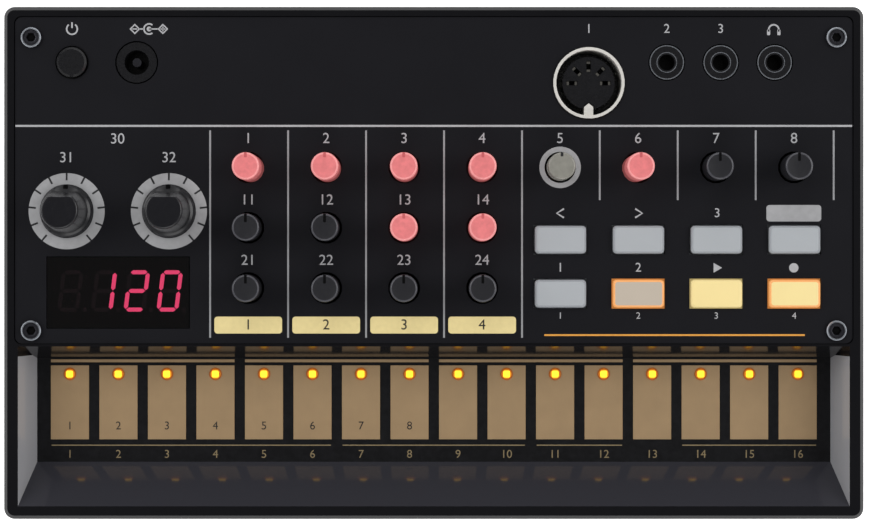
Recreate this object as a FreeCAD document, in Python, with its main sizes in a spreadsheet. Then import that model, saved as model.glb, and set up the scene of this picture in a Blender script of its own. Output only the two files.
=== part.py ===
"""A pocket drum machine: two-part case, printed panel, knobs, keys, sockets, touch strip and batteries.

Millimetres, +Z up, +X along the width, +Y to the back.
The origin is on the table, below the middle of the case.
"""
import FreeCAD, Part
import functools
import os
import Sketcher

OUTPUT_FOLDER = "parts"
UP = FreeCAD.Vector(0, 0, 1)

# Driving dimensions in millimetres, one sheet cell each
DIMENSIONS = {
    # case, in plan
    "rim_side": 2.5,
    "rim_back": 2.3,
    "rim_front": 2.9,
    "case_corner": 2.4,
    "case_wall": 2.0,
    "top_edge_bevel": 0.8,
    "bottom_bevel": 2.0,
    "floor_thickness": 2.5,
    "foot_height": 1.5,
    "foot_radius": 5.0,
    "foot_inset_x": 10.5,
    "foot_inset_back": 9.5,
    "foot_inset_front": 15.5,
    # panel size on which the places across and along it were measured
    "layout_width": 188.0,
    "layout_depth": 73.3,
    # printed panel
    "panel_width": 188.0,
    "panel_depth": 73.3,
    "panel_thickness": 1.5,
    "panel_sink": 0.3,
    "panel_gap": 0.15,
    "panel_corner": 1.6,
    "deck_thickness": 2.0,
    "ledge_gap": 0.25,
    "ledge_front": 2.7,
    "lug_bury": 1.0,
    # screws of the panel and the case
    "panel_screw_inset_x": 3.65,
    "panel_screw_inset_back": 4.6,
    "panel_screw_inset_front": 2.9,
    "screw_head_radius": 2.25,
    "screw_head_height": 0.9,
    "screw_hex_width": 1.9,
    "screw_hex_depth": 0.6,
    "screw_radius": 1.2,
    "screw_hole_radius": 1.45,
    "screw_bite": 0.1,
    "panel_screw_length": 7.5,
    "boss_radius": 2.9,
    "boss_drop": 7.0,
    "case_screw_head_radius": 2.3,
    "case_screw_head_height": 1.6,
    "case_screw_seat": 4.0,
    "case_screw_engage": 6.0,
    "front_boss_outer_x": 77.0,
    "front_boss_inner_x": 33.0,
    "front_boss_inset": 6.8,
    "back_boss_y": 35.0,
    "back_boss_inset": 4.9,
    "boss_gap": 0.2,
    "pilot_spare": 0.5,
    "post_wall": 0.6,
    "seat_gap": 0.3,
    # touch strip well
    "well_bar": 0.65,
    "well_length": 35.85,
    "well_side_inset": 3.2,
    "well_side_slope": 2.55,
    "well_back_slope": 3.0,
    "well_front_slope": 9.1,
    "well_wall": 1.8,
    "strip_board_lap": 1.7,
    "pad_count": 16,
    "pad_pitch": 11.1,
    "pad_width": 8.7,
    "pad_length": 16.9,
    "pad_height": 0.1,
    "pad_back_margin": 1.7,
    "lamp_width": 2.0,
    "lamp_height": 0.6,
    "lamp_inset": 2.0,
    # heights of the stack inside, from the battery cover to the panel
    "cover_thickness": 1.5,
    "battery_diameter": 14.5,
    "battery_length": 50.5,
    "battery_play": 0.2,
    "bay_roof": 1.0,
    "board_clearance": 0.5,
    "board_thickness": 1.6,
    "board_edge_gap": 0.4,
    "board_back_gap": 1.75,
    "board_front_gap": 0.8,
    "board_stop_x": 18.0,
    "board_stop_width": 4.0,
    "board_stop_depth": 2.4,
    "cable_left": -22.0,
    "cable_width": 12.0,
    "cable_thickness": 0.3,
    "cable_bend": 1.0,
    "cable_lap": 6.0,
    "strip_rib_x": 30.0,
    "strip_rib_width": 1.6,
    "strip_rib_length": 14.0,
    "board_to_panel": 11.2,
    "strip_rise": 1.2,
    # battery bay and its cover
    "bay_wall": 1.2,
    "bay_roof_lap": 0.9,
    "contact_room": 2.6,
    "contact_thickness": 0.4,
    "contact_width": 9.0,
    "contact_bulge": 3.8,
    "contact_tip": 1.8,
    "contact_gap": 0.05,
    "cell_gap": 0.2,
    "cover_overlap": 3.3,
    "cover_gap": 0.25,
    "cover_play": 0.05,
    "cover_bevel": 1.48,
    "rail_end": 3.0,
    "rail_width": 1.6,
    "rail_lip": 0.7,
    "rail_gap": 0.15,
    "grip_pitch": 2.4,
    "grip_width": 1.2,
    "grip_length": 18.0,
    "grip_depth": 0.4,
    "grip_first": 5.0,
    "grip_count": 4,
    # small knobs, whose stems are the rotors of their pots
    "column_pitch": 17.5,
    "first_column": -41.65,
    "row_pitch": 13.55,
    "top_row": 2.9,
    "small_knob_radius": 3.05,
    "small_knob_height": 8.9,
    "knob_hole_gap": 0.55,
    "slot_width": 0.6,
    "slot_length": 2.0,
    "slot_depth": 0.5,
    "cut_past": 0.5,
    "pot_width": 9.4,
    "pot_depth": 11.0,
    "pot_height": 6.5,
    "rotor_socket": 2.0,
    "rotor_gap": 0.08,
    "rotor_lift": 0.1,
    # large knobs
    "large_knob_x": -82.4,
    "large_knob_pitch": 22.95,
    "large_knob_y": -6.95,
    "large_skirt_radius": 5.95,
    "large_skirt_height": 1.6,
    "large_neck_radius": 5.0,
    "large_top_radius": 4.2,
    "large_knob_height": 12.3,
    "large_knob_lift": 0.4,
    "large_flat_top": 2.9,
    "large_flat_run": 1.5,
    "large_notch_width": 1.0,
    "large_notch_depth": 0.9,
    "large_stem_radius": 3.0,
    "large_pot_width": 12.0,
    # display
    "window_x": -70.85,
    "window_y": -25.2,
    "window_width": 31.9,
    "window_depth": 15.9,
    "window_thickness": 1.5,
    "window_gap": 0.15,
    "module_inset": 0.9,
    "module_gap": 0.4,
    # keys
    "key_first_x": 28.4,
    "key_top_y": -13.35,
    "key_row_pitch": 12.1,
    "key_width": 11.5,
    "key_depth": 6.25,
    "key_clip": 0.5,
    "key_bevel": 0.45,
    "key_rise": 1.1,
    "key_gap": 0.25,
    "key_flange": 0.9,
    "key_flange_height": 1.0,
    "key_flange_gap": 0.15,
    "key_plunger": 2.6,
    "key_travel": 0.8,
    "switch_width": 6.2,
    "switch_height": 4.3,
    "switch_entry": 0.4,
    "switch_well_gap": 0.3,
    "lamp_chip_width": 1.6,
    "lamp_chip_depth": 2.4,
    "lamp_chip_height": 1.1,
    "lamp_chip_gap": 0.5,
    # sockets and the power button
    "top_socket_y": 26.45,
    "power_x": -81.2,
    "power_radius": 3.375,
    "power_gap": 0.375,
    "power_rise": 1.2,
    "power_skirt": 1.0,
    "power_travel": 1.5,
    "power_stem": 2.4,
    "power_switch_width": 7.0,
    "power_switch_height": 5.5,
    "dc_x": -66.7,
    "dc_width": 9.2,
    "dc_depth": 10.5,
    "dc_nose_radius": 4.55,
    "dc_bore_radius": 2.75,
    "dc_bore_depth": 8.5,
    "dc_pin_radius": 1.0,
    "dc_pin_sink": 0.6,
    "dc_nose_sink": 0.2,
    "dc_shoulder_gap": 0.3,
    "dc_hole_gap": 0.3,
    "din_x": 34.8,
    "din_y": 21.85,
    "din_radius": 8.0,
    "din_wall": 0.65,
    "din_rise": 0.6,
    "din_gap": 0.2,
    "din_insert_radius": 5.9,
    "din_insert_sink": 0.9,
    "din_base_gap": 0.05,
    "din_base_height": 3.0,
    "din_key_width": 2.05,
    "din_key_length": 2.8,
    "din_key_gap": 0.2,
    "din_key_point": 0.8,
    "din_key_lift": 0.3,
    "din_contact_circle": 3.75,
    "din_contact_length": 2.5,
    "din_contact_width": 1.0,
    "din_contact_drop": 0.7,
    "din_leaf_length": 0.5,
    "din_leaf_gap": 0.1,
    "jack_first_x": 52.3,
    "jack_pitch": 12.1,
    "jack_width": 9.0,
    "jack_depth": 10.6,
    "jack_body_height": 8.6,
    "jack_nose_radius": 3.9,
    "jack_bore_radius": 1.8,
    "jack_bore_depth": 10.0,
    "jack_gap": 0.25,
    # speaker behind slots in the floor
    "speaker_y": -22.0,
    "speaker_width": 40.0,
    "speaker_depth": 28.0,
    "speaker_height": 5.0,
    "speaker_frame_wall": 2.0,
    "speaker_back": 1.0,
    "cone_gap": 0.2,
    "cone_throat": 10.0,
    "speaker_magnet_width": 15.0,
    "speaker_magnet_height": 5.0,
    "speaker_rib": 1.2,
    "speaker_rib_height": 3.0,
    "speaker_rib_gap": 0.2,
    "speaker_slot_count": 9,
    "speaker_slot_pitch": 3.6,
    "speaker_slot_width": 1.8,
    "speaker_slot_length": 20.0,
}

# Sides of the many-sided outlines that stand for rounds: hidden pilots up to the bright socket ring
PILOT_SIDES = 8
HIDDEN_SIDES = 12
HOLE_SIDES = 16
ROUND_SIDES = 24
KNOB_SIDES = 28
RING_SIDES = 40

doc = FreeCAD.newDocument("drum_machine")
sheet = doc.addObject("Spreadsheet::Sheet", "dims")
sub_parts = []


def fill_sheet():
    """Write each driving dimension as a plain number with its alias."""
    for row, (alias, number) in enumerate(DIMENSIONS.items(), start=1):
        sheet.set(f"A{row}", alias)
        sheet.set(f"B{row}", str(number))
        sheet.setAlias(f"B{row}", alias)
    doc.recompute()


fill_sheet()

# Heights, as expressions of the sheet, from the table up
TUB_BOTTOM = "dims.foot_height"
FLOOR_TOP = "(dims.foot_height + dims.floor_thickness)"
COVER_TOP = "(dims.foot_height + dims.cover_thickness)"
COVER_RECESS = f"({COVER_TOP} + dims.battery_play / 2)"
BATTERY_AXIS = f"({COVER_TOP} + dims.battery_play + dims.battery_diameter / 2)"
BAY_CEILING = f"({COVER_TOP} + 2 * dims.battery_play + dims.battery_diameter)"
PARTING = BAY_CEILING
BAY_TOP = f"({BAY_CEILING} + dims.bay_roof)"
BOARD_BOTTOM = f"({BAY_TOP} + dims.board_clearance)"
BOARD_TOP = f"({BOARD_BOTTOM} + dims.board_thickness)"
STRIP_TOP = f"({BOARD_TOP} + dims.strip_rise)"
STRIP_BOTTOM = f"({STRIP_TOP} - dims.board_thickness)"
PANEL_BOTTOM = f"({BOARD_TOP} + dims.board_to_panel)"
PANEL_TOP = f"({PANEL_BOTTOM} + dims.panel_thickness)"
DECK_BOTTOM = f"({PANEL_BOTTOM} - dims.deck_thickness)"
RIM_TOP = f"({PANEL_TOP} + dims.panel_sink)"

# Plan sizes, as expressions of the sheet
SPREAD_X = "(dims.panel_width / dims.layout_width)"
SPREAD_Y = "(dims.panel_depth / dims.layout_depth)"
CASE_WIDTH = "(dims.panel_width + 2 * dims.rim_side)"
WELL_DEPTH = "(dims.well_bar + dims.well_length)"
CASE_DEPTH = f"(dims.rim_back + dims.panel_depth + {WELL_DEPTH} + dims.rim_front)"
CASE_BACK = f"({CASE_DEPTH} / 2)"
PANEL_BACK = f"({CASE_BACK} - dims.rim_back)"
PANEL_FRONT = f"({PANEL_BACK} - dims.panel_depth)"
PANEL_MIDDLE = f"({PANEL_BACK} - dims.panel_depth / 2)"
WELL_BACK = f"({PANEL_FRONT} - dims.well_bar)"
WELL_FRONT = f"({WELL_BACK} - dims.well_length)"
WELL_HALF = f"({CASE_WIDTH} / 2 - dims.well_side_inset)"
FLOOR_BACK = f"({WELL_BACK} - dims.well_back_slope)"
FLOOR_FRONT = f"({WELL_FRONT} + dims.well_front_slope)"
FLOOR_HALF = f"({WELL_HALF} - dims.well_side_slope)"
PANEL_SCREW_X = "(dims.panel_width / 2 - dims.panel_screw_inset_x)"
FRONT_BOSS_Y = f"(-{CASE_BACK} + dims.front_boss_inset)"
BACK_BOSS_X = f"({CASE_WIDTH} / 2 - dims.back_boss_inset)"
BOARD_BACK = f"({PANEL_BACK} - dims.board_back_gap)"
BOARD_FRONT = f"({PANEL_FRONT} + dims.board_front_gap)"
BAY_HALF = "(dims.battery_length + dims.contact_room)"
BAY_LENGTH = "(3 * dims.battery_diameter + 4 * dims.battery_play)"
BAY_BACK = f"({CASE_BACK} - dims.case_wall - dims.bay_wall)"
BAY_FRONT = f"({BAY_BACK} - {BAY_LENGTH})"
FIRST_ROW = f"({BAY_FRONT} + dims.battery_play + dims.battery_diameter / 2)"
COVER_HALF = f"({BAY_HALF} + dims.cover_overlap)"
COVER_FRONT = f"({BAY_FRONT} - dims.cover_overlap)"
KNOB_PITCH = f"({SPREAD_X} * dims.column_pitch)"
JACK_PITCH = f"({SPREAD_X} * dims.jack_pitch)"
PAD_PITCH = f"({SPREAD_X} * dims.pad_pitch)"
KEY_WIDTH = f"({SPREAD_X} * dims.key_width)"
KEY_DEPTH = f"({SPREAD_Y} * dims.key_depth)"
WINDOW_WIDTH = f"({SPREAD_X} * dims.window_width)"
WINDOW_DEPTH = f"({SPREAD_Y} * dims.window_depth)"
POWER_X = f"({SPREAD_X} * dims.power_x)"
DC_X = f"({SPREAD_X} * dims.dc_x)"
DIN_X = f"({SPREAD_X} * dims.din_x)"
WINDOW_X = f"({SPREAD_X} * dims.window_x)"
SOCKET_Y = f"({PANEL_MIDDLE} + {SPREAD_Y} * dims.top_socket_y)"
DIN_Y = f"({PANEL_MIDDLE} + {SPREAD_Y} * dims.din_y)"
LARGE_KNOB_Y = f"({PANEL_MIDDLE} + {SPREAD_Y} * dims.large_knob_y)"
WINDOW_Y = f"({PANEL_MIDDLE} + {SPREAD_Y} * dims.window_y)"
LARGE_KNOB_XS = [f"({SPREAD_X} * (dims.large_knob_x + {index} * dims.large_knob_pitch))" for index in (0, 1)]
KNOB_SEAT = f"({BOARD_TOP} + dims.pot_height - dims.rotor_socket + dims.rotor_lift)"


@functools.lru_cache(maxsize=None)
def value(expression):
    """Return the number that an expression of the sheet gives."""
    return float(sheet.evalExpression(str(expression)))


def new_body(label, at_x="0", at_y="0", at_z="0"):
    """Start a sub-part whose local origin is bound to a place in the object."""
    body = doc.addObject("PartDesign::Body", label)
    body.Label = label
    for axis, expression in (("x", at_x), ("y", at_y), ("z", at_z)):
        body.setExpression(f"Placement.Base.{axis}", str(expression))
    sub_parts.append(body)
    return body


def new_sketch(body, name, height="0", plane="XY_Plane"):
    """Attach a sketch to one of the body's origin planes, lifted along its normal."""
    sketch = body.newObject("Sketcher::SketchObject", f"{body.Name}_{name}")
    support = next(f for f in body.Origin.OriginFeatures if f.Role == plane)
    sketch.AttachmentSupport = [(support, "")]
    sketch.MapMode = "FlatFace"
    sketch.setExpression("AttachmentOffset.Base.z", str(height))
    return sketch


def bind(sketch, kind, targets, expression, tag):
    """Add a dimension to a sketch and bind it to the sheet."""
    dimension = Sketcher.Constraint(kind, *targets, value(expression))
    dimension.Name = tag
    sketch.addConstraint(dimension)
    sketch.setExpression(f"Constraints.{tag}", str(expression))


def place_point(sketch, geometry, point, x, y, tag):
    """Hold one point of the sketch at a place given by two expressions."""
    origin = (-1, 1)
    if str(x) == "0":
        sketch.addConstraint(Sketcher.Constraint("PointOnObject", geometry, point, -2))
    else:
        bind(sketch, "DistanceX", (*origin, geometry, point), x, f"{tag}_x")
    if str(y) == "0":
        sketch.addConstraint(Sketcher.Constraint("PointOnObject", geometry, point, -1))
    else:
        bind(sketch, "DistanceY", (*origin, geometry, point), y, f"{tag}_y")


def add_circle(sketch, tag, x, y, radius):
    """Draw a circle from its centre and radius."""
    centre = FreeCAD.Vector(value(x), value(y), 0)
    circle = sketch.addGeometry(Part.Circle(centre, UP, value(radius)))
    bind(sketch, "Radius", (circle,), radius, f"{tag}_radius")
    place_point(sketch, circle, 3, x, y, f"{tag}_centre")


def add_profile(sketch, tag, corners):
    """Draw a closed outline of straight lines through corners given as pairs of expressions."""
    points = [FreeCAD.Vector(value(x), value(y), 0) for x, y in corners]
    count = len(points)
    lines = []
    for index in range(count):
        ends = points[index], points[(index + 1) % count]
        lines.append(sketch.addGeometry(Part.LineSegment(*ends)))
    for index in range(count):
        following = lines[(index + 1) % count]
        sketch.addConstraint(Sketcher.Constraint("Coincident", lines[index], 2, following, 1))
    for index, (x, y) in enumerate(corners):
        place_point(sketch, lines[index], 1, x, y, f"{tag}_{index}")


def add_ring(sketch, tag, x, y, radius, sides, around=False):
    """Draw a regular outline with its corners on a circle, or with its flats touching it."""
    reach = f"({radius} / cos({180 / sides} deg))" if around else f"({radius})"
    corners = []
    for index in range(sides):
        angle = (index + 0.5) * 360 / sides
        corners.append((f"({x} + {reach} * cos({angle} deg))", f"({y} + {reach} * sin({angle} deg))"))
    add_profile(sketch, tag, corners)


def add_rectangle(sketch, tag, x, y, width, depth):
    """Draw a rectangle from its middle and its two sizes."""
    left, right = f"({x} - {width} / 2)", f"({x} + {width} / 2)"
    front, back = f"({y} - {depth} / 2)", f"({y} + {depth} / 2)"
    add_profile(sketch, tag, [(left, front), (right, front), (right, back), (left, back)])


def add_rounded(sketch, tag, x, y, width, depth, radius):
    """Draw a rectangle with four equal rounded corners."""
    r = value(radius)
    left, front = value(x) - value(width) / 2, value(y) - value(depth) / 2
    right, back = left + value(width), front + value(depth)
    turn = 1.5707963267948966
    sides = [
        ((left + r, front), (right - r, front)),
        ((right, front + r), (right, back - r)),
        ((right - r, back), (left + r, back)),
        ((left, back - r), (left, front + r)),
    ]
    middles = [(right - r, front + r), (right - r, back - r), (left + r, back - r), (left + r, front + r)]
    lines = []
    for start, end in sides:
        ends = FreeCAD.Vector(*start, 0), FreeCAD.Vector(*end, 0)
        lines.append(sketch.addGeometry(Part.LineSegment(*ends)))
    arcs = []
    for corner, (cx, cy) in enumerate(middles):
        circle = Part.Circle(FreeCAD.Vector(cx, cy, 0), UP, r)
        first = (corner - 1) * turn
        arcs.append(sketch.addGeometry(Part.ArcOfCircle(circle, first, first + turn)))
    for corner in range(4):
        sketch.addConstraint(Sketcher.Constraint("Tangent", lines[corner], 2, arcs[corner], 1))
        sketch.addConstraint(Sketcher.Constraint("Tangent", arcs[corner], 2, lines[(corner + 1) % 4], 1))
    for side, kind in enumerate(("Horizontal", "Vertical", "Horizontal", "Vertical")):
        sketch.addConstraint(Sketcher.Constraint(kind, lines[side]))
    for corner in range(1, 4):
        sketch.addConstraint(Sketcher.Constraint("Equal", arcs[0], arcs[corner]))
    bind(sketch, "Radius", (arcs[0],), radius, f"{tag}_radius")
    bind(sketch, "DistanceX", (-1, 1, lines[3], 1), f"{x} - {width} / 2", f"{tag}_left")
    bind(sketch, "DistanceX", (-1, 1, lines[1], 1), f"{x} + {width} / 2", f"{tag}_right")
    bind(sketch, "DistanceY", (-1, 1, lines[0], 1), f"{y} - {depth} / 2", f"{tag}_front")
    bind(sketch, "DistanceY", (-1, 1, lines[2], 1), f"{y} + {depth} / 2", f"{tag}_back")


def pad(body, name, sketch, length):
    """Raise a sketch along its normal."""
    feature = body.newObject("PartDesign::Pad", f"{body.Name}_{name}")
    feature.Profile = sketch
    feature.setExpression("Length", str(length))
    doc.recompute()
    return feature


def pocket(body, name, sketch, length, upward=False):
    """Cut a sketch into the body, and stop if nothing was cut."""
    before = body.Shape.Volume
    feature = body.newObject("PartDesign::Pocket", f"{body.Name}_{name}")
    feature.Profile = sketch
    feature.Reversed = upward
    feature.setExpression("Length", str(length))
    doc.recompute()
    if body.Shape.Volume > before - 1e-6:
        raise RuntimeError(f"{body.Label}: pocket {name} cut nothing")
    return feature


def taper(body, name, low, high, sides):
    """Raise a many-sided cone with flat faces between two sections: height and radius of each."""
    sections = []
    for end, (height, radius) in (("low", low), ("high", high)):
        sketch = new_sketch(body, f"{name}_{end}", height)
        add_ring(sketch, end, "0", "0", radius, sides)
        sections.append(sketch)
    feature = body.newObject("PartDesign::AdditiveLoft", f"{body.Name}_{name}")
    feature.Profile = sections[0]
    feature.Sections = sections[1:]
    feature.Ruled = True
    doc.recompute()
    return feature


def wedge(body, name, kind, low, high):
    """Add or cut a block with four sloped sides.

    low and high are its bottom and top: height, left, right, front and back, as expressions.
    """
    feature = body.newObject(f"PartDesign::{kind}Wedge", f"{body.Name}_{name}")
    support = next(f for f in body.Origin.OriginFeatures if f.Role == "XZ_Plane")
    feature.AttachmentSupport = [(support, "")]
    feature.MapMode = "FlatFace"
    for (height, left, right, front, back), end in ((low, ""), (high, "2")):
        feature.setExpression("Ymax" if end else "Ymin", str(height))
        feature.setExpression(f"X{end}min", str(left))
        feature.setExpression(f"X{end}max", str(right))
        feature.setExpression(f"Z{end}min", f"-({back})")
        feature.setExpression(f"Z{end}max", f"-({front})")
    doc.recompute()
    return feature


def repeat(body, name, feature, axis, pitch, count):
    """Repeat a feature along an axis of the body at a pitch from the sheet."""
    pattern = body.newObject("PartDesign::LinearPattern", f"{body.Name}_{name}")
    pattern.Originals = [feature]
    direction = next(f for f in body.Origin.OriginFeatures if f.Role == axis)
    pattern.Direction = (direction, [""])
    pattern.Mode = "Spacing"
    pattern.setExpression("Offset", str(pitch))
    pattern.setExpression("Occurrences", str(count))
    body.Tip = pattern
    doc.recompute()
    return pattern


def dress_edges(body, kind, size_name, size, wanted):
    """Round or bevel the edges of the body that a test picks."""
    base = body.Tip
    names = []
    for number, edge in enumerate(base.Shape.Edges, start=1):
        if wanted(edge.BoundBox):
            names.append(f"Edge{number}")
    feature = body.newObject(f"PartDesign::{kind}", f"{body.Name}_{kind.lower()}_{size_name}")
    feature.Base = (base, names)
    property_name = "Radius" if kind == "Fillet" else "Size"
    feature.setExpression(property_name, str(size))
    doc.recompute()
    return feature


def box_corners(half, front, back):
    """Return the corners of a rectangle that lies evenly about the middle."""
    return [(f"-{half}", front), (half, front), (half, back), (f"-{half}", back)]


def both_sides(x):
    """Return an expression and its mirror image."""
    return (f"-{x}", x)


def column_x(index):
    """Return the place across of one column of small knobs."""
    return f"({SPREAD_X} * (dims.first_column + {index} * dims.column_pitch))"


def row_y(index):
    """Return the place along of one row of small knobs."""
    return f"({PANEL_MIDDLE} + {SPREAD_Y} * (dims.top_row - {index} * dims.row_pitch))"


def key_x(index):
    """Return the place across of one column of keys."""
    return f"({SPREAD_X} * (dims.key_first_x + {index} * dims.column_pitch))"


def key_y(index):
    """Return the place along of one row of keys."""
    return f"({PANEL_MIDDLE} + {SPREAD_Y} * (dims.key_top_y - {index} * dims.key_row_pitch))"


def jack_x(index):
    """Return the place across of one of the three jacks."""
    return f"({SPREAD_X} * (dims.jack_first_x + {index} * dims.jack_pitch))"


# Angles of the five contacts round the socket, in degrees
CONTACT_TURNS = (0, 45, 90, 135, 180)
# Which small knobs there are: name, column and row
VOICE_NAMES = ("voice_1", "voice_2", "voice_3", "voice_4")
VOICE_KNOBS = [(f"{voice}_knob_{r + 1}", c, r) for c, voice in enumerate(VOICE_NAMES) for r in range(3)]
OTHER_NAMES = ("speed_knob", "tempo_knob", "level_knob", "volume_knob")
OTHER_KNOBS = [(name, column, 0) for column, name in enumerate(OTHER_NAMES, start=4)]
SMALL_KNOBS = VOICE_KNOBS + OTHER_KNOBS
KEY_NAMES = [
    ("back_key", 0, 0),
    ("forward_key", 1, 0),
    ("mute_key", 2, 0),
    ("function_key", 3, 0),
    ("memory_key", 0, 1),
    ("step_key", 1, 1),
    ("play_key", 2, 1),
    ("record_key", 3, 1),
]
LIT_KEYS = [(1, 1), (2, 1), (3, 1)]
LIT_KNOBS = [(0, 0), (1, 0), (2, 0), (2, 1), (3, 0), (3, 1), (5, 0)]
JACK_NAMES = ("sync_in_jack", "sync_out_jack", "phones_jack")
KEY_COLUMNS = 4
VOICE_ROWS = (1, 2)
# The deck's opening clears the flange of the outermost key and the nose of the power inlet
OPENING_HALF = f"({key_x(KEY_COLUMNS - 1)} + {KEY_WIDTH} / 2 + dims.key_flange + dims.ledge_gap)"
OPENING_BACK = f"({SOCKET_Y} + dims.dc_nose_radius + dims.ledge_gap)"
OPENING_FRONT = f"({PANEL_FRONT} + dims.ledge_front)"


def panel_screw_places():
    """Return the four places of the screws that hold the panel."""
    rear = f"({PANEL_BACK} - dims.panel_screw_inset_back)"
    fore = f"({PANEL_FRONT} + dims.panel_screw_inset_front)"
    return [(x, y) for y in (rear, fore) for x in both_sides(PANEL_SCREW_X)]


def case_screw_places():
    """Return the four places of the screws that join the shells."""
    front = [(x, FRONT_BOSS_Y) for x in both_sides(f"({SPREAD_X} * dims.front_boss_outer_x)")]
    return front + [(x, "dims.back_boss_y") for x in both_sides(BACK_BOSS_X)]


def well_sections(grow):
    """Return the well's bottom and top outlines, grown on every side by a wall."""
    sections = []
    for height, half, front, back in (
        (STRIP_TOP, FLOOR_HALF, FLOOR_FRONT, FLOOR_BACK),
        (RIM_TOP, WELL_HALF, WELL_FRONT, WELL_BACK),
    ):
        wide = f"({half} + {grow})"
        sections.append((height, f"-{wide}", wide, f"{front} - {grow}", f"{back} + {grow}"))
    return sections


def make_upper_case():
    """Shell with a rim and recess for the panel, a sloped well for the strip, and bosses."""
    body = new_body("upper_case")
    outline = new_sketch(body, "outline", PARTING)
    add_rounded(outline, "case", "0", "0", CASE_WIDTH, CASE_DEPTH, "dims.case_corner")
    pad(body, "walls", outline, f"{RIM_TOP} - {PARTING}")
    top = value(RIM_TOP)
    dress_edges(body, "Chamfer", "rim", "dims.top_edge_bevel", lambda box: abs(box.ZMin - top) < 1e-4)

    hollow = new_sketch(body, "hollow", PARTING)
    inner_width = f"({CASE_WIDTH} - 2 * dims.case_wall)"
    inner_depth = f"({CASE_DEPTH} - 2 * dims.case_wall)"
    add_rectangle(hollow, "hollow", "0", "0", inner_width, inner_depth)
    pocket(body, "cavity", hollow, f"{DECK_BOTTOM} - {PARTING}", upward=True)

    wedge(body, "well_walls", "Additive", *well_sections("dims.well_wall"))

    bosses = new_sketch(body, "screw_bosses", f"({PARTING} + dims.boss_gap)")
    for index, (x, y) in enumerate(case_screw_places()):
        add_ring(bosses, f"boss{index}", x, y, "dims.boss_radius", HIDDEN_SIDES)
    for index, x in enumerate(both_sides(f"({SPREAD_X} * dims.front_boss_inner_x)")):
        add_ring(bosses, f"stub{index}", x, FRONT_BOSS_Y, "dims.boss_radius", HIDDEN_SIDES)
    pad(body, "case_bosses", bosses, f"{DECK_BOTTOM} - {PARTING}")

    lugs = new_sketch(body, "panel_lugs", f"({DECK_BOTTOM} - dims.boss_drop)")
    for index, (x, y) in enumerate(panel_screw_places()):
        add_ring(lugs, f"lug{index}", x, y, "dims.boss_radius", HIDDEN_SIDES)
    pad(body, "panel_bosses", lugs, "dims.boss_drop + dims.lug_bury")

    recess = new_sketch(body, "panel_recess", RIM_TOP)
    recess_width = "(dims.panel_width + 2 * dims.panel_gap)"
    recess_depth = "(dims.panel_depth + 2 * dims.panel_gap)"
    add_rounded(recess, "recess", "0", PANEL_MIDDLE, recess_width, recess_depth, "dims.panel_corner")
    pocket(body, "panel_seat", recess, f"{RIM_TOP} - {PANEL_BOTTOM}")

    opening = new_sketch(body, "deck_opening", PANEL_BOTTOM)
    add_profile(opening, "hole", box_corners(OPENING_HALF, OPENING_FRONT, OPENING_BACK))
    pocket(body, "deck_hole", opening, "dims.deck_thickness")

    before = body.Shape.Volume
    wedge(body, "well", "Subtractive", *well_sections("0"))
    if body.Shape.Volume > before - 1:
        raise RuntimeError("the well was not cut")

    supports = new_sketch(body, "board_supports", BOARD_TOP)
    stop_rows = {
        "rear": f"({OPENING_BACK} + dims.board_stop_depth / 2)",
        "fore": f"({OPENING_FRONT} - dims.board_stop_depth / 2)",
    }
    for index, x in enumerate(both_sides(f"({SPREAD_X} * dims.board_stop_x)")):
        for row, y in stop_rows.items():
            add_rectangle(supports, f"{row}{index}", x, y, "dims.board_stop_width", "dims.board_stop_depth")
    pad(body, "board_stops", supports, f"{DECK_BOTTOM} - {BOARD_TOP}")

    pilots = new_sketch(body, "case_pilots", f"({PARTING} + dims.boss_gap)")
    for index, (x, y) in enumerate(case_screw_places()):
        add_ring(pilots, f"pilot{index}", x, y, "dims.screw_radius - dims.screw_bite", PILOT_SIDES)
    pocket(body, "case_screw_holes", pilots, "dims.case_screw_engage + dims.pilot_spare", upward=True)

    holes = new_sketch(body, "panel_pilots", PANEL_BOTTOM)
    for index, (x, y) in enumerate(panel_screw_places()):
        add_ring(holes, f"pilot{index}", x, y, "dims.screw_radius - dims.screw_bite", PILOT_SIDES)
    pocket(body, "panel_screw_holes", holes, "dims.panel_screw_length")


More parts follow.
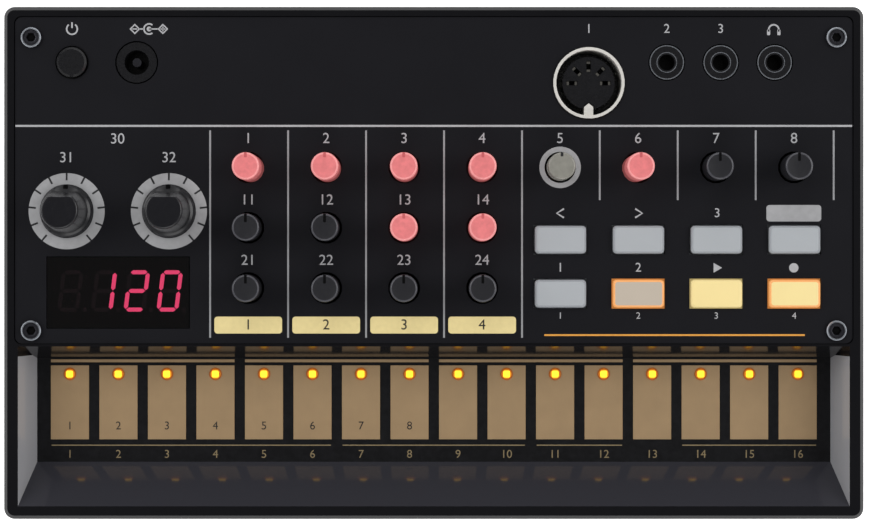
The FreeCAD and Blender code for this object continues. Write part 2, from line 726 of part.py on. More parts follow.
def make_lower_case():
    """Tub with a battery bay, a speaker seat, screw posts and the recess of the battery cover."""
    body = new_body("lower_case")
    outline = new_sketch(body, "outline", TUB_BOTTOM)
    add_rounded(outline, "case", "0", "0", CASE_WIDTH, CASE_DEPTH, "dims.case_corner")
    pad(body, "block", outline, f"{PARTING} - {TUB_BOTTOM}")
    bottom = value(TUB_BOTTOM)
    dress_edges(body, "Chamfer", "base", "dims.bottom_bevel", lambda box: abs(box.ZMax - bottom) < 1e-4)

    hollow = new_sketch(body, "hollow", FLOOR_TOP)
    inner_width = f"({CASE_WIDTH} - 2 * dims.case_wall)"
    inner_depth = f"({CASE_DEPTH} - 2 * dims.case_wall)"
    add_rectangle(hollow, "hollow", "0", "0", inner_width, inner_depth)
    pocket(body, "cavity", hollow, f"{PARTING} - {FLOOR_TOP}", upward=True)

    block = new_sketch(body, "bay_block", FLOOR_TOP)
    outer = f"({BAY_HALF} + dims.bay_wall)"
    fore = f"({BAY_FRONT} - dims.bay_wall)"
    rear = f"({BAY_BACK} + dims.bay_wall + dims.case_wall / 2)"
    add_profile(block, "bay", box_corners(outer, fore, rear))
    pad(body, "bay_walls", block, f"{PARTING} - {FLOOR_TOP}")
    roof = new_sketch(body, "bay_roof", PARTING)
    add_profile(roof, "roof", box_corners(outer, fore, f"({BAY_BACK} + dims.bay_roof_lap)"))
    pad(body, "bay_lid", roof, "dims.bay_roof")

    bay = new_sketch(body, "bay", TUB_BOTTOM)
    add_profile(bay, "bay", box_corners(BAY_HALF, BAY_FRONT, BAY_BACK))
    pocket(body, "battery_bay", bay, f"{BAY_CEILING} - {TUB_BOTTOM}", upward=True)

    seat = new_sketch(body, "cover_recess", TUB_BOTTOM)
    half = f"({COVER_HALF} + dims.cover_gap)"
    fore = f"({COVER_FRONT} - dims.cover_gap)"
    past = f"({CASE_BACK} + dims.cut_past)"
    add_profile(seat, "seat", box_corners(half, fore, past))
    pocket(body, "cover_seat", seat, f"{COVER_RECESS} - {TUB_BOTTOM}", upward=True)
    rails = new_sketch(body, "rails", f"({TUB_BOTTOM} + dims.rail_lip)")
    reach = f"({COVER_HALF} + dims.cover_gap + dims.rail_width)"
    add_profile(rails, "rails", box_corners(reach, fore, past))
    pocket(body, "rail_grooves", rails, f"{COVER_RECESS} - {TUB_BOTTOM} - dims.rail_lip", upward=True)

    posts = new_sketch(body, "posts", FLOOR_TOP)
    for index, (x, y) in enumerate(case_screw_places()):
        add_ring(posts, f"post{index}", x, y, "dims.boss_radius + dims.post_wall", HIDDEN_SIDES)
    pad(body, "screw_posts", posts, f"{PARTING} - {FLOOR_TOP}")
    seats = new_sketch(body, "head_seats", TUB_BOTTOM)
    for index, (x, y) in enumerate(case_screw_places()):
        add_ring(seats, f"seat{index}", x, y, "dims.case_screw_head_radius + dims.seat_gap", HIDDEN_SIDES)
    pocket(body, "screw_seats", seats, "dims.case_screw_seat", upward=True)
    shafts = new_sketch(body, "shaft_holes", f"({TUB_BOTTOM} + dims.case_screw_seat)")
    for index, (x, y) in enumerate(case_screw_places()):
        add_ring(shafts, f"hole{index}", x, y, "dims.screw_hole_radius", PILOT_SIDES)
    pocket(body, "shaft_bores", shafts, f"{PARTING} - {TUB_BOTTOM} - dims.case_screw_seat", upward=True)

    ribs = new_sketch(body, "strip_ribs", FLOOR_TOP)
    rib_y = f"(({FLOOR_BACK} + {FLOOR_FRONT}) / 2)"
    rib_size = "dims.strip_rib_width", "dims.strip_rib_length"
    rib_xs = both_sides(f"({FLOOR_HALF} - dims.strip_rib_length)") + both_sides("dims.strip_rib_x")
    for index, x in enumerate(rib_xs):
        add_rectangle(ribs, f"rib{index}", x, rib_y, *rib_size)
    pad(body, "strip_supports", ribs, f"{STRIP_BOTTOM} - {FLOOR_TOP}")

    fence = new_sketch(body, "speaker_fence", FLOOR_TOP)
    gap = "2 * dims.speaker_rib_gap"
    for tag, grow in (("inner", f"{gap}"), ("outer", f"{gap} + 2 * dims.speaker_rib")):
        wide, deep = f"(dims.speaker_width + {grow})", f"(dims.speaker_depth + {grow})"
        add_rectangle(fence, tag, "0", "dims.speaker_y", wide, deep)
    pad(body, "speaker_ribs", fence, "dims.speaker_rib_height")
    slot = new_sketch(body, "speaker_slot", TUB_BOTTOM)
    first = "(-(dims.speaker_slot_count - 1) / 2 * dims.speaker_slot_pitch)"
    slot_size = "dims.speaker_slot_width", "dims.speaker_slot_length"
    add_rectangle(slot, "slot", first, "dims.speaker_y", *slot_size)
    cut = pocket(body, "sound_slot", slot, "dims.floor_thickness", upward=True)
    repeat(body, "sound_slots", cut, "X_Axis", "dims.speaker_slot_pitch", "dims.speaker_slot_count")


def make_top_panel():
    """Printed plate with an opening for each knob, key, socket and screw."""
    body = new_body("top_panel", at_y=PANEL_MIDDLE, at_z=PANEL_BOTTOM)
    outline = new_sketch(body, "outline")
    add_rounded(outline, "panel", "0", "0", "dims.panel_width", "dims.panel_depth", "dims.panel_corner")
    pad(body, "plate", outline, "dims.panel_thickness")

    def local(y):
        return f"({y} - {PANEL_MIDDLE})"

    def open_row(name, draw, pitch, count):
        """Cut one group of openings and repeat it across the panel."""
        sketch = new_sketch(body, name, "dims.panel_thickness")
        draw(sketch)
        cut = pocket(body, f"{name}_cut", sketch, "dims.panel_thickness")
        if pitch:
            repeat(body, f"{name}_row", cut, "X_Axis", pitch, count)

    knob_hole = "dims.small_knob_radius + dims.knob_hole_gap"
    jack_hole = "dims.jack_nose_radius + dims.jack_gap"

    def first_row(sketch):
        add_ring(sketch, "knob", column_x(0), local(row_y(0)), knob_hole, HOLE_SIDES, around=True)

    def voice_rows(sketch):
        for row in VOICE_ROWS:
            add_ring(sketch, f"knob{row}", column_x(0), local(row_y(row)), knob_hole, HOLE_SIDES, around=True)

    def jacks(sketch):
        add_ring(sketch, "jack", jack_x(0), local(SOCKET_Y), jack_hole, ROUND_SIDES, around=True)

    def keys(sketch):
        wide, deep = f"({KEY_WIDTH} + 2 * dims.key_gap)", f"({KEY_DEPTH} + 2 * dims.key_gap)"
        for row in range(2):
            add_rectangle(sketch, f"key{row}", key_x(0), local(key_y(row)), wide, deep)

    def rounds(sketch):
        power_hole = "dims.power_radius + dims.power_gap"
        inlet_hole = "dims.dc_nose_radius + dims.dc_hole_gap"
        din_hole = "dims.din_radius + dims.din_gap"
        add_ring(sketch, "power", POWER_X, local(SOCKET_Y), power_hole, ROUND_SIDES, around=True)
        add_ring(sketch, "inlet", DC_X, local(SOCKET_Y), inlet_hole, ROUND_SIDES, around=True)
        add_ring(sketch, "din", DIN_X, local(DIN_Y), din_hole, ROUND_SIDES, around=True)

    def hidden_holes(sketch):
        stem_hole = "dims.large_stem_radius + dims.knob_hole_gap"
        for index, x in enumerate(LARGE_KNOB_XS):
            add_ring(sketch, f"large{index}", x, local(LARGE_KNOB_Y), stem_hole, HIDDEN_SIDES, around=True)
        for index, (x, y) in enumerate(panel_screw_places()):
            add_ring(sketch, f"screw{index}", x, local(y), "dims.screw_hole_radius", PILOT_SIDES)

    def window(sketch):
        wide, deep = f"({WINDOW_WIDTH} + 2 * dims.window_gap)", f"({WINDOW_DEPTH} + 2 * dims.window_gap)"
        add_rectangle(sketch, "window", WINDOW_X, local(WINDOW_Y), wide, deep)

    open_row("first_row", first_row, KNOB_PITCH, len(VOICE_NAMES) + len(OTHER_NAMES))
    open_row("voice_rows", voice_rows, KNOB_PITCH, len(VOICE_NAMES))
    open_row("jacks", jacks, JACK_PITCH, len(JACK_NAMES))
    open_row("keys", keys, KNOB_PITCH, KEY_COLUMNS)
    open_row("rounds", rounds, None, 1)
    open_row("hidden_holes", hidden_holes, None, 1)
    open_row("window", window, None, 1)


def make_panel_screws():
    """Four socket screws whose heads stand on the panel."""
    body = new_body("panel_screws", at_z=PANEL_TOP)
    heads = new_sketch(body, "heads")
    for index, (x, y) in enumerate(panel_screw_places()):
        add_ring(heads, f"head{index}", x, y, "dims.screw_head_radius", ROUND_SIDES)
    pad(body, "head_discs", heads, "dims.screw_head_height")
    shanks = new_sketch(body, "shanks", "-(dims.panel_screw_length - dims.screw_head_height)")
    for index, (x, y) in enumerate(panel_screw_places()):
        add_ring(shanks, f"shank{index}", x, y, "dims.screw_radius", PILOT_SIDES)
    pad(body, "shank_rods", shanks, "dims.panel_screw_length - dims.screw_head_height")
    sockets = new_sketch(body, "sockets", "dims.screw_head_height")
    for index, (x, y) in enumerate(panel_screw_places()):
        add_ring(sockets, f"hex{index}", x, y, "dims.screw_hex_width / 2", 6, around=True)
    pocket(body, "hex_sockets", sockets, "dims.screw_hex_depth")


def make_case_screws():
    """Four screws from below, through the tub's posts into the bosses of the upper shell."""
    body = new_body("case_screws", at_z=f"({TUB_BOTTOM} + dims.case_screw_seat)")
    heads = new_sketch(body, "heads", "-dims.case_screw_head_height")
    shanks = new_sketch(body, "shanks")
    for index, (x, y) in enumerate(case_screw_places()):
        add_ring(heads, f"head{index}", x, y, "dims.case_screw_head_radius", HIDDEN_SIDES)
        add_ring(shanks, f"shank{index}", x, y, "dims.screw_radius", PILOT_SIDES)
    pad(body, "head_discs", heads, "dims.case_screw_head_height")
    reach = f"{PARTING} - {TUB_BOTTOM} - dims.case_screw_seat + dims.boss_gap + dims.case_screw_engage"
    pad(body, "shank_rods", shanks, reach)


def make_feet():
    """Four rubber discs under the tub."""
    body = new_body("rubber_feet")
    discs = new_sketch(body, "discs")
    rows = (f"({CASE_BACK} - dims.foot_inset_back)", f"(-{CASE_BACK} + dims.foot_inset_front)")
    for row, y in enumerate(rows):
        for side, x in enumerate(both_sides(f"({CASE_WIDTH} / 2 - dims.foot_inset_x)")):
            add_ring(discs, f"foot{row}{side}", x, y, "dims.foot_radius", HOLE_SIDES)
    pad(body, "feet", discs, "dims.foot_height")


def make_battery_cover():
    """Cover that slides out at the back on two tongues, with its edge bevelled like the tub's."""
    body = new_body("battery_cover", at_z=TUB_BOTTOM)
    plate = new_sketch(body, "plate")
    rear = f"({CASE_BACK} - dims.cover_play)"
    add_profile(plate, "plate", box_corners(COVER_HALF, COVER_FRONT, rear))
    pad(body, "lid", plate, "dims.cover_thickness")
    tongues = new_sketch(body, "tongues", "dims.rail_lip + dims.rail_gap")
    reach = f"({COVER_HALF} + dims.rail_width)"
    add_profile(tongues, "tongues", box_corners(reach, COVER_FRONT, f"({CASE_BACK} - dims.rail_end)"))
    pad(body, "side_tongues", tongues, "dims.cover_thickness - dims.rail_lip - dims.rail_gap")
    edge = value(rear)

    def is_lower_edge(box):
        return abs(box.YMin - edge) < 1e-4 and abs(box.ZMax) < 1e-4 and box.XLength > 1

    dress_edges(body, "Chamfer", "edge", "dims.cover_bevel", is_lower_edge)
    grip = new_sketch(body, "grip")
    first = f"({CASE_BACK} - dims.grip_first)"
    add_rectangle(grip, "grip", "0", first, "dims.grip_length", "dims.grip_width")
    cut = pocket(body, "grip_groove", grip, "dims.grip_depth", upward=True)
    pattern = repeat(body, "grip_grooves", cut, "Y_Axis", "dims.grip_pitch", "dims.grip_count")
    pattern.Reversed = True
    doc.recompute()


def make_batteries():
    """Six AA cells, two in line in each of three rows, their poles all one way in a row."""
    body = new_body("batteries", at_y=FIRST_ROW, at_z=BATTERY_AXIS)
    radius = "dims.battery_diameter / 2"
    starts = {"left": "-dims.battery_length - dims.cell_gap / 2", "right": "dims.cell_gap / 2"}
    for end, start in starts.items():
        rounds = new_sketch(body, f"{end}_round", start, plane="YZ_Plane")
        add_ring(rounds, "cell", "0", "0", radius, HOLE_SIDES)
        cell = pad(body, f"{end}_cell", rounds, "dims.battery_length")
        repeat(body, f"{end}_cells", cell, "Y_Axis", "dims.battery_diameter + dims.battery_play", "3")


def make_battery_contacts():
    """Bent leaf contacts at both ends of the three rows."""
    body = new_body("battery_contacts", at_y=FIRST_ROW, at_z=BATTERY_AXIS)
    half = "dims.contact_width / 2"
    wall = f"({BAY_HALF} - dims.contact_gap)"
    touch = "(dims.battery_length + dims.cell_gap / 2 + dims.contact_gap)"
    face = f"({wall} - dims.contact_thickness)"
    bulge, tip = "dims.contact_bulge / 2", "dims.contact_tip / 2"
    for end, side in (("left", -1), ("right", 1)):
        leaf = new_sketch(body, f"{end}_leaf", f"-{half}")
        corners = [
            (f"{side} * {wall}", f"-{half}"),
            (f"{side} * {wall}", half),
            (f"{side} * {face}", half),
            (f"{side} * {face}", bulge),
            (f"{side} * {touch}", tip),
            (f"{side} * {touch}", f"-{tip}"),
            (f"{side} * {face}", f"-{bulge}"),
            (f"{side} * {face}", f"-{half}"),
        ]
        add_profile(leaf, "leaf", corners)
        blade = pad(body, f"{end}_blade", leaf, "dims.contact_width")
        repeat(body, f"{end}_blades", blade, "Y_Axis", "dims.battery_diameter + dims.battery_play", "3")


def make_boards():
    """Main board under the panel, strip board under the well and the flat cable between them."""
    main = new_body("main_board", at_z=BOARD_BOTTOM)
    outline = new_sketch(main, "outline")
    half = f"({OPENING_HALF} - dims.board_edge_gap)"
    add_profile(outline, "board", box_corners(half, BOARD_FRONT, BOARD_BACK))
    pad(main, "board", outline, "dims.board_thickness")

    strip = new_body("touch_strip_board", at_z=STRIP_BOTTOM)
    outline = new_sketch(strip, "outline")
    half = f"({FLOOR_HALF} + dims.strip_board_lap)"
    rear, fore = f"({FLOOR_BACK} + dims.strip_board_lap)", f"({FLOOR_FRONT} - dims.strip_board_lap)"
    add_profile(outline, "board", box_corners(half, fore, rear))
    pad(strip, "board", outline, "dims.board_thickness")

    cable = new_body("board_cable", at_x=f"({SPREAD_X} * dims.cable_left)")
    side = new_sketch(cable, "side", "0", plane="YZ_Plane")
    drop = f"({BOARD_BOTTOM} - dims.cable_thickness)"
    low = f"({drop} - dims.cable_thickness)"
    rear_end, rear_bend = f"({BOARD_FRONT} + dims.cable_lap)", f"({BOARD_FRONT} + dims.cable_bend)"
    fore_end, fore_bend = f"({FLOOR_BACK} - dims.cable_lap)", f"({FLOOR_BACK} - dims.cable_bend)"
    corners = [
        (rear_end, BOARD_BOTTOM),
        (rear_bend, BOARD_BOTTOM),
        (rear_bend, drop),
        (fore_bend, drop),
        (fore_bend, STRIP_BOTTOM),
        (fore_end, STRIP_BOTTOM),
        (fore_end, low),
        (rear_end, low),
    ]
    add_profile(side, "cable", corners)
    pad(cable, "ribbon", side, "dims.cable_width")


def make_touch_strip():
    """Sixteen gold pads in a row and one lamp on each."""
    first = f"(-(dims.pad_count - 1) / 2 * {PAD_PITCH})"
    pad_middle = f"({FLOOR_BACK} - dims.pad_back_margin - dims.pad_length / 2)"
    pads = new_body("touch_pads", at_y=pad_middle, at_z=STRIP_TOP)
    outline = new_sketch(pads, "outline")
    add_rectangle(outline, "pad", first, "0", "dims.pad_width", "dims.pad_length")
    one = pad(pads, "pad", outline, "dims.pad_height")
    repeat(pads, "row", one, "X_Axis", PAD_PITCH, "dims.pad_count")

    lamp_y = f"({FLOOR_BACK} - dims.pad_back_margin - dims.lamp_inset)"
    lamps = new_body("strip_lamps", at_y=lamp_y, at_z=f"({STRIP_TOP} + dims.pad_height)")
    outline = new_sketch(lamps, "outline")
    add_rectangle(outline, "lamp", first, "0", "dims.lamp_width", "dims.lamp_width")
    one = pad(lamps, "lamp", outline, "dims.lamp_height")
    repeat(lamps, "row", one, "X_Axis", PAD_PITCH, "dims.pad_count")


def make_display():
    """Smoked window flush in the panel and the digit module below it."""
    underside = f"({PANEL_TOP} - dims.window_thickness)"
    window = new_body("display_window", at_x=WINDOW_X, at_y=WINDOW_Y, at_z=underside)
    outline = new_sketch(window, "outline")
    add_rectangle(outline, "window", "0", "0", WINDOW_WIDTH, WINDOW_DEPTH)
    pad(window, "pane", outline, "dims.window_thickness")

    module = new_body("display_module", at_x=WINDOW_X, at_y=WINDOW_Y, at_z=BOARD_TOP)
    outline = new_sketch(module, "outline")
    wide, deep = f"({WINDOW_WIDTH} - 2 * dims.module_inset)", f"({WINDOW_DEPTH} - 2 * dims.module_inset)"
    add_rectangle(outline, "module", "0", "0", wide, deep)
    pad(module, "block", outline, f"{underside} - dims.module_gap - {BOARD_TOP}")


def make_small_knob(name, column, row):
    """Knob whose stem goes down to its pot, with a pointer slot from the rim to near the middle."""
    body = new_body(name, at_x=column_x(column), at_y=row_y(row), at_z=KNOB_SEAT)
    top = f"({PANEL_TOP} + dims.small_knob_height - {KNOB_SEAT})"
    outline = new_sketch(body, "outline")
    add_circle(outline, "stem", "0", "0", "dims.small_knob_radius")
    pad(body, "cap", outline, top)
    slot = new_sketch(body, "slot", top)
    middle = "(dims.small_knob_radius + (dims.cut_past - dims.slot_length) / 2)"
    add_rectangle(slot, "slot", "0", middle, "dims.slot_width", "(dims.slot_length + dims.cut_past)")
    pocket(body, "pointer", slot, "dims.slot_depth")


def make_small_pots():
    """Sixteen pot housings on the board, each open on top for its knob's stem."""
    body = new_body("small_pots", at_z=BOARD_TOP)
    blocks = new_sketch(body, "blocks")
    sockets = new_sketch(body, "sockets", "dims.pot_height")
    socket_width = "(2 * (dims.small_knob_radius + dims.rotor_gap))"
    for name, column, row in SMALL_KNOBS:
        add_rectangle(blocks, name, column_x(column), row_y(row), "dims.pot_width", "dims.pot_depth")
        add_rectangle(sockets, name, column_x(column), row_y(row), socket_width, socket_width)
    pad(body, "housings", blocks, "dims.pot_height")
    pocket(body, "rotor_sockets", sockets, "dims.rotor_socket")


def make_large_knob(name, index):
    """Skirted knob with a sloped flat and a notch towards its pointer side, on its own stem."""
    body = new_body(name, at_x=LARGE_KNOB_XS[index], at_y=LARGE_KNOB_Y, at_z=KNOB_SEAT)
    base = f"({PANEL_TOP} + dims.large_knob_lift - {KNOB_SEAT})"
    top = f"({PANEL_TOP} + dims.large_knob_height - {KNOB_SEAT})"
    stem = new_sketch(body, "stem")
    add_circle(stem, "stem", "0", "0", "dims.large_stem_radius")
    pad(body, "stem", stem, base)
    skirt = new_sketch(body, "skirt", base)
    add_ring(skirt, "skirt", "0", "0", "dims.large_skirt_radius", KNOB_SIDES)
    pad(body, "skirt", skirt, "dims.large_skirt_height / 2")
    edge = (f"({base} + dims.large_skirt_height / 2)", "dims.large_skirt_radius")
    neck = (f"({base} + dims.large_skirt_height)", "dims.large_neck_radius")
    taper(body, "shoulder", edge, neck, KNOB_SIDES)
    taper(body, "grip", neck, (top, "dims.large_top_radius"), KNOB_SIDES)

    flat = new_sketch(body, "flat", "-dims.large_skirt_radius", plane="YZ_Plane")
    low = f"({base} + dims.large_skirt_height)"
    foot = "(dims.large_flat_top + dims.large_flat_run)"
    outside = "(dims.large_skirt_radius + dims.cut_past)"
    above = f"({top} + dims.cut_past)"
    corners = [("dims.large_flat_top", top), (foot, low), (outside, low), (outside, above)]
    corners.append(("dims.large_flat_top", above))
    add_profile(flat, "flat", corners)
    pocket(body, "pointer_flat", flat, "2 * dims.large_skirt_radius", upward=True)

    notch = new_sketch(body, "notch", base)
    middle = "(dims.large_skirt_radius + (dims.cut_past - dims.large_notch_depth) / 2)"
    length = "(dims.large_notch_depth + dims.cut_past)"
    add_rectangle(notch, "notch", "0", middle, "dims.large_notch_width", length)
    pocket(body, "pointer_notch", notch, "dims.large_skirt_height", upward=True)


def make_large_pots():
    """Two larger pot housings for the skirted knobs."""
    body = new_body("large_pots", at_z=BOARD_TOP)
    blocks = new_sketch(body, "blocks")
    sockets = new_sketch(body, "sockets", "dims.pot_height")
    socket_width = "(2 * (dims.large_stem_radius + dims.rotor_gap))"
    for index, x in enumerate(LARGE_KNOB_XS):
        add_rectangle(blocks, f"pot{index}", x, LARGE_KNOB_Y, "dims.pot_width", "dims.large_pot_width")
        add_rectangle(sockets, f"socket{index}", x, LARGE_KNOB_Y, socket_width, socket_width)
    pad(body, "housings", blocks, "dims.pot_height")
    pocket(body, "rotor_sockets", sockets, "dims.rotor_socket")


def make_key(name, column, row):
    """Bevelled key with a flange below the panel and a plunger into its switch."""
    flange_top = f"({PANEL_BOTTOM} - dims.key_flange_gap)"
    body = new_body(name, at_x=key_x(column), at_y=key_y(row), at_z=flange_top)
    cap = new_sketch(body, "cap")
    half_width, half_depth = f"({KEY_WIDTH} / 2)", f"({KEY_DEPTH} / 2)"
    clipped_width, clipped_depth = f"({half_width} - dims.key_clip)", f"({half_depth} - dims.key_clip)"
    corners = []
    for side, end in ((1, 1), (-1, 1), (-1, -1), (1, -1)):
        pair = [(f"{side} * {half_width}", f"{end} * {clipped_depth}")]
        pair.append((f"{side} * {clipped_width}", f"{end} * {half_depth}"))
        corners += pair if side == end else pair[::-1]
    add_profile(cap, "cap", corners)
    rise = f"({PANEL_TOP} + dims.key_rise - {flange_top})"
    pad(body, "cap", cap, rise)
    crown = value(rise)
    dress_edges(body, "Chamfer", "crown", "dims.key_bevel", lambda box: abs(box.ZMin - crown) < 1e-4)
    flange = new_sketch(body, "flange", "-dims.key_flange_height")
    wide, deep = f"({KEY_WIDTH} + 2 * dims.key_flange)", f"({KEY_DEPTH} + 2 * dims.key_flange)"
    add_rectangle(flange, "flange", "0", "0", wide, deep)
    pad(body, "flange", flange, "dims.key_flange_height")
    drop = f"({flange_top} - ({BOARD_TOP} + dims.switch_height) + dims.switch_entry)"
    plunger = new_sketch(body, "plunger", f"-{drop}")
    add_rectangle(plunger, "plunger", "0", "0", "dims.key_plunger", "dims.key_plunger")
    pad(body, "plunger", plunger, f"{drop} - dims.key_flange_height")


def make_key_switches():
    """Eight switch housings, each open on top for its key's plunger."""
    body = new_body("key_switches", at_z=BOARD_TOP)
    blocks = new_sketch(body, "blocks")
    wells = new_sketch(body, "wells", "dims.switch_height")
    hole = "(dims.key_plunger + 2 * dims.switch_well_gap)"
    for name, column, row in KEY_NAMES:
        add_rectangle(blocks, name, key_x(column), key_y(row), "dims.switch_width", "dims.switch_width")
        add_rectangle(wells, name, key_x(column), key_y(row), hole, hole)
    pad(body, "housings", blocks, "dims.switch_height")
    pocket(body, "plunger_wells", wells, "dims.switch_entry + dims.key_travel + dims.switch_well_gap")


def make_panel_lamps():
    """Lamps on the board, beside the switches of the lit keys and the pots of the lit knobs."""
    body = new_body("panel_lamps", at_z=BOARD_TOP)
    chips = new_sketch(body, "chips")
    beside = "(dims.lamp_chip_width / 2 + dims.lamp_chip_gap)"
    chip_size = "dims.lamp_chip_width", "dims.lamp_chip_depth"
    for index, (column, row) in enumerate(LIT_KEYS):
        x = f"({key_x(column)} + dims.switch_width / 2 + {beside})"
        add_rectangle(chips, f"key{index}", x, key_y(row), *chip_size)
    for index, (column, row) in enumerate(LIT_KNOBS):
        x = f"({column_x(column)} + dims.pot_width / 2 + {beside})"
        add_rectangle(chips, f"knob{index}", x, row_y(row), *chip_size)
    pad(body, "chips", chips, "dims.lamp_chip_height")


def make_power_button():
    """Round button, its retaining skirt below the panel and its stem into the switch."""
    skirt_top = f"({PANEL_BOTTOM} - dims.key_flange_gap)"
    body = new_body("power_button", at_x=POWER_X, at_y=SOCKET_Y, at_z=skirt_top)
    cap = new_sketch(body, "cap")
    add_ring(cap, "cap", "0", "0", "dims.power_radius", ROUND_SIDES)
    rise = f"({PANEL_TOP} + dims.power_rise - {skirt_top})"
    pad(body, "cap", cap, rise)
    crown = value(rise)
    dress_edges(body, "Chamfer", "crown", "dims.key_bevel", lambda box: abs(box.ZMin - crown) < 1e-4)
    skirt = new_sketch(body, "skirt", "-dims.key_flange_height")
    wide = "(2 * (dims.power_radius + dims.power_skirt))"
    add_rectangle(skirt, "skirt", "0", "0", wide, wide)
    pad(body, "skirt", skirt, "dims.key_flange_height")
    drop = f"({skirt_top} - ({BOARD_TOP} + dims.power_switch_height) + dims.switch_entry)"
    stem = new_sketch(body, "stem", f"-{drop}")
    add_rectangle(stem, "stem", "0", "0", "dims.power_stem", "dims.power_stem")
    pad(body, "stem", stem, f"{drop} - dims.key_flange_height")

    switch = new_body("power_switch", at_x=POWER_X, at_y=SOCKET_Y, at_z=BOARD_TOP)
    block = new_sketch(switch, "block")
    add_rectangle(block, "block", "0", "0", "dims.power_switch_width", "dims.power_switch_width")
    pad(switch, "housing", block, "dims.power_switch_height")
    entry = new_sketch(switch, "entry", "dims.power_switch_height")
    hole = "(dims.power_stem + 2 * dims.switch_well_gap)"
    add_rectangle(entry, "entry", "0", "0", hole, hole)
    pocket(switch, "stem_well", entry, "dims.switch_entry + dims.power_travel + dims.switch_well_gap")


def make_dc_jack():
    """Power inlet with a round nose in the panel, its bore and its centre pin."""
    jack = new_body("dc_jack", at_x=DC_X, at_y=SOCKET_Y, at_z=BOARD_TOP)
    block = new_sketch(jack, "block")
    add_rectangle(block, "block", "0", "0", "dims.dc_width", "dims.dc_depth")
    shoulder = "(dims.board_to_panel - dims.deck_thickness - dims.dc_shoulder_gap)"
    pad(jack, "housing", block, shoulder)
    nose = new_sketch(jack, "nose", shoulder)
    add_ring(nose, "nose", "0", "0", "dims.dc_nose_radius", ROUND_SIDES)
    top = "(dims.board_to_panel + dims.panel_thickness - dims.dc_nose_sink)"
    pad(jack, "nose", nose, f"{top} - {shoulder}")
    bore = new_sketch(jack, "bore", top)
    add_ring(bore, "bore", "0", "0", "dims.dc_bore_radius", ROUND_SIDES, around=True)
    pocket(jack, "bore", bore, "dims.dc_bore_depth")

    floor = f"({BOARD_TOP} + {top} - dims.dc_bore_depth)"
    pin = new_body("dc_jack_pin", at_x=DC_X, at_y=SOCKET_Y, at_z=floor)
    rod = new_sketch(pin, "rod")
    add_ring(rod, "rod", "0", "0", "dims.dc_pin_radius", HIDDEN_SIDES)
    pad(pin, "rod", rod, "dims.dc_bore_depth - dims.dc_pin_sink")


def make_din_socket():
    """Round socket: bright shell with a key, black insert with five slots, and leaf contacts."""
    height = "(dims.board_to_panel + dims.panel_thickness + dims.din_rise)"
    insert_top = "(dims.board_to_panel + dims.panel_thickness - dims.din_insert_sink)"
    inner = "(dims.din_radius - dims.din_wall)"
    shell = new_body("din_shell", at_x=DIN_X, at_y=DIN_Y, at_z=BOARD_TOP)
    ring = new_sketch(shell, "ring")
    add_ring(ring, "outer", "0", "0", "dims.din_radius", RING_SIDES)
    add_ring(ring, "inner", "0", "0", inner, RING_SIDES)
    pad(shell, "tube", ring, height)
    key = new_sketch(shell, "key", "dims.din_base_height + dims.din_key_lift")
    half = "(dims.din_key_width / 2)"
    edge = f"(-{inner} + dims.din_key_length)"
    wall = "(-dims.din_radius + dims.din_wall / 2)"
    add_profile(key, "key", pointed_corners(half, wall, edge))
    pad(shell, "key", key, f"{insert_top} - dims.din_base_height")

    insert = new_body("din_insert", at_x=DIN_X, at_y=DIN_Y, at_z=BOARD_TOP)
    base = new_sketch(insert, "base")
    add_ring(base, "base", "0", "0", f"({inner} - dims.din_base_gap)", ROUND_SIDES)
    pad(insert, "base", base, "dims.din_base_height")
    core = new_sketch(insert, "core", "dims.din_base_height")
    add_ring(core, "core", "0", "0", "dims.din_insert_radius", ROUND_SIDES)
    pad(insert, "core", core, f"{insert_top} - dims.din_base_height")
    notch = new_sketch(insert, "notch", "dims.din_base_height")
    wide, deep = f"({half} + dims.din_key_gap)", f"({edge} + dims.din_key_gap)"
    add_profile(notch, "notch", pointed_corners(wide, f"-{inner}", deep))
    pocket(insert, "keyway", notch, f"{insert_top} - dims.din_base_height", upward=True)
    slots = new_sketch(insert, "slots", insert_top)
    for index, turn in enumerate(CONTACT_TURNS):
        corners = turned_slot(turn, "0", "dims.din_contact_length", "dims.din_contact_width")
        add_profile(slots, f"slot{index}", corners)
    pocket(insert, "contact_slots", slots, f"{insert_top} - dims.din_base_height")

    floor = f"({BOARD_TOP} + dims.din_base_height)"
    contacts = new_body("din_contacts", at_x=DIN_X, at_y=DIN_Y, at_z=floor)
    leaves = new_sketch(contacts, "leaves")
    middle = "((dims.din_contact_length - dims.din_leaf_length) / 2 - dims.din_leaf_gap)"
    width = "(dims.din_contact_width - 2 * dims.din_leaf_gap)"
    for index, turn in enumerate(CONTACT_TURNS):
        for tag, shift in (("inner", f"-{middle}"), ("outer", middle)):
            add_profile(leaves, f"{tag}{index}", turned_slot(turn, shift, "dims.din_leaf_length", width))
    pad(contacts, "leaves", leaves, f"{insert_top} - dims.din_base_height - dims.din_contact_drop")


def turned_slot(turn, shift, length, width):
    """Return the corners of an oblong that lies along a radius of the socket at an angle."""
    corners = []
    for along, side in ((-1, -1), (1, -1), (1, 1), (-1, 1)):
        out = f"(dims.din_contact_circle + {shift} + {along} * {length} / 2)"
        across = f"({side} * {width} / 2)"
        x = f"({out} * cos({turn} deg) - {across} * sin({turn} deg))"
        y = f"({out} * sin({turn} deg) + {across} * cos({turn} deg))"
        corners.append((x, y))
    return corners


def pointed_corners(half, wall, edge):
    """Return the corners of the socket's key, from its wall to the point on its edge."""
    shoulder = f"({edge} - dims.din_key_point)"
    return [(f"-{half}", wall), (half, wall), (half, shoulder), ("0", edge), (f"-{half}", shoulder)]


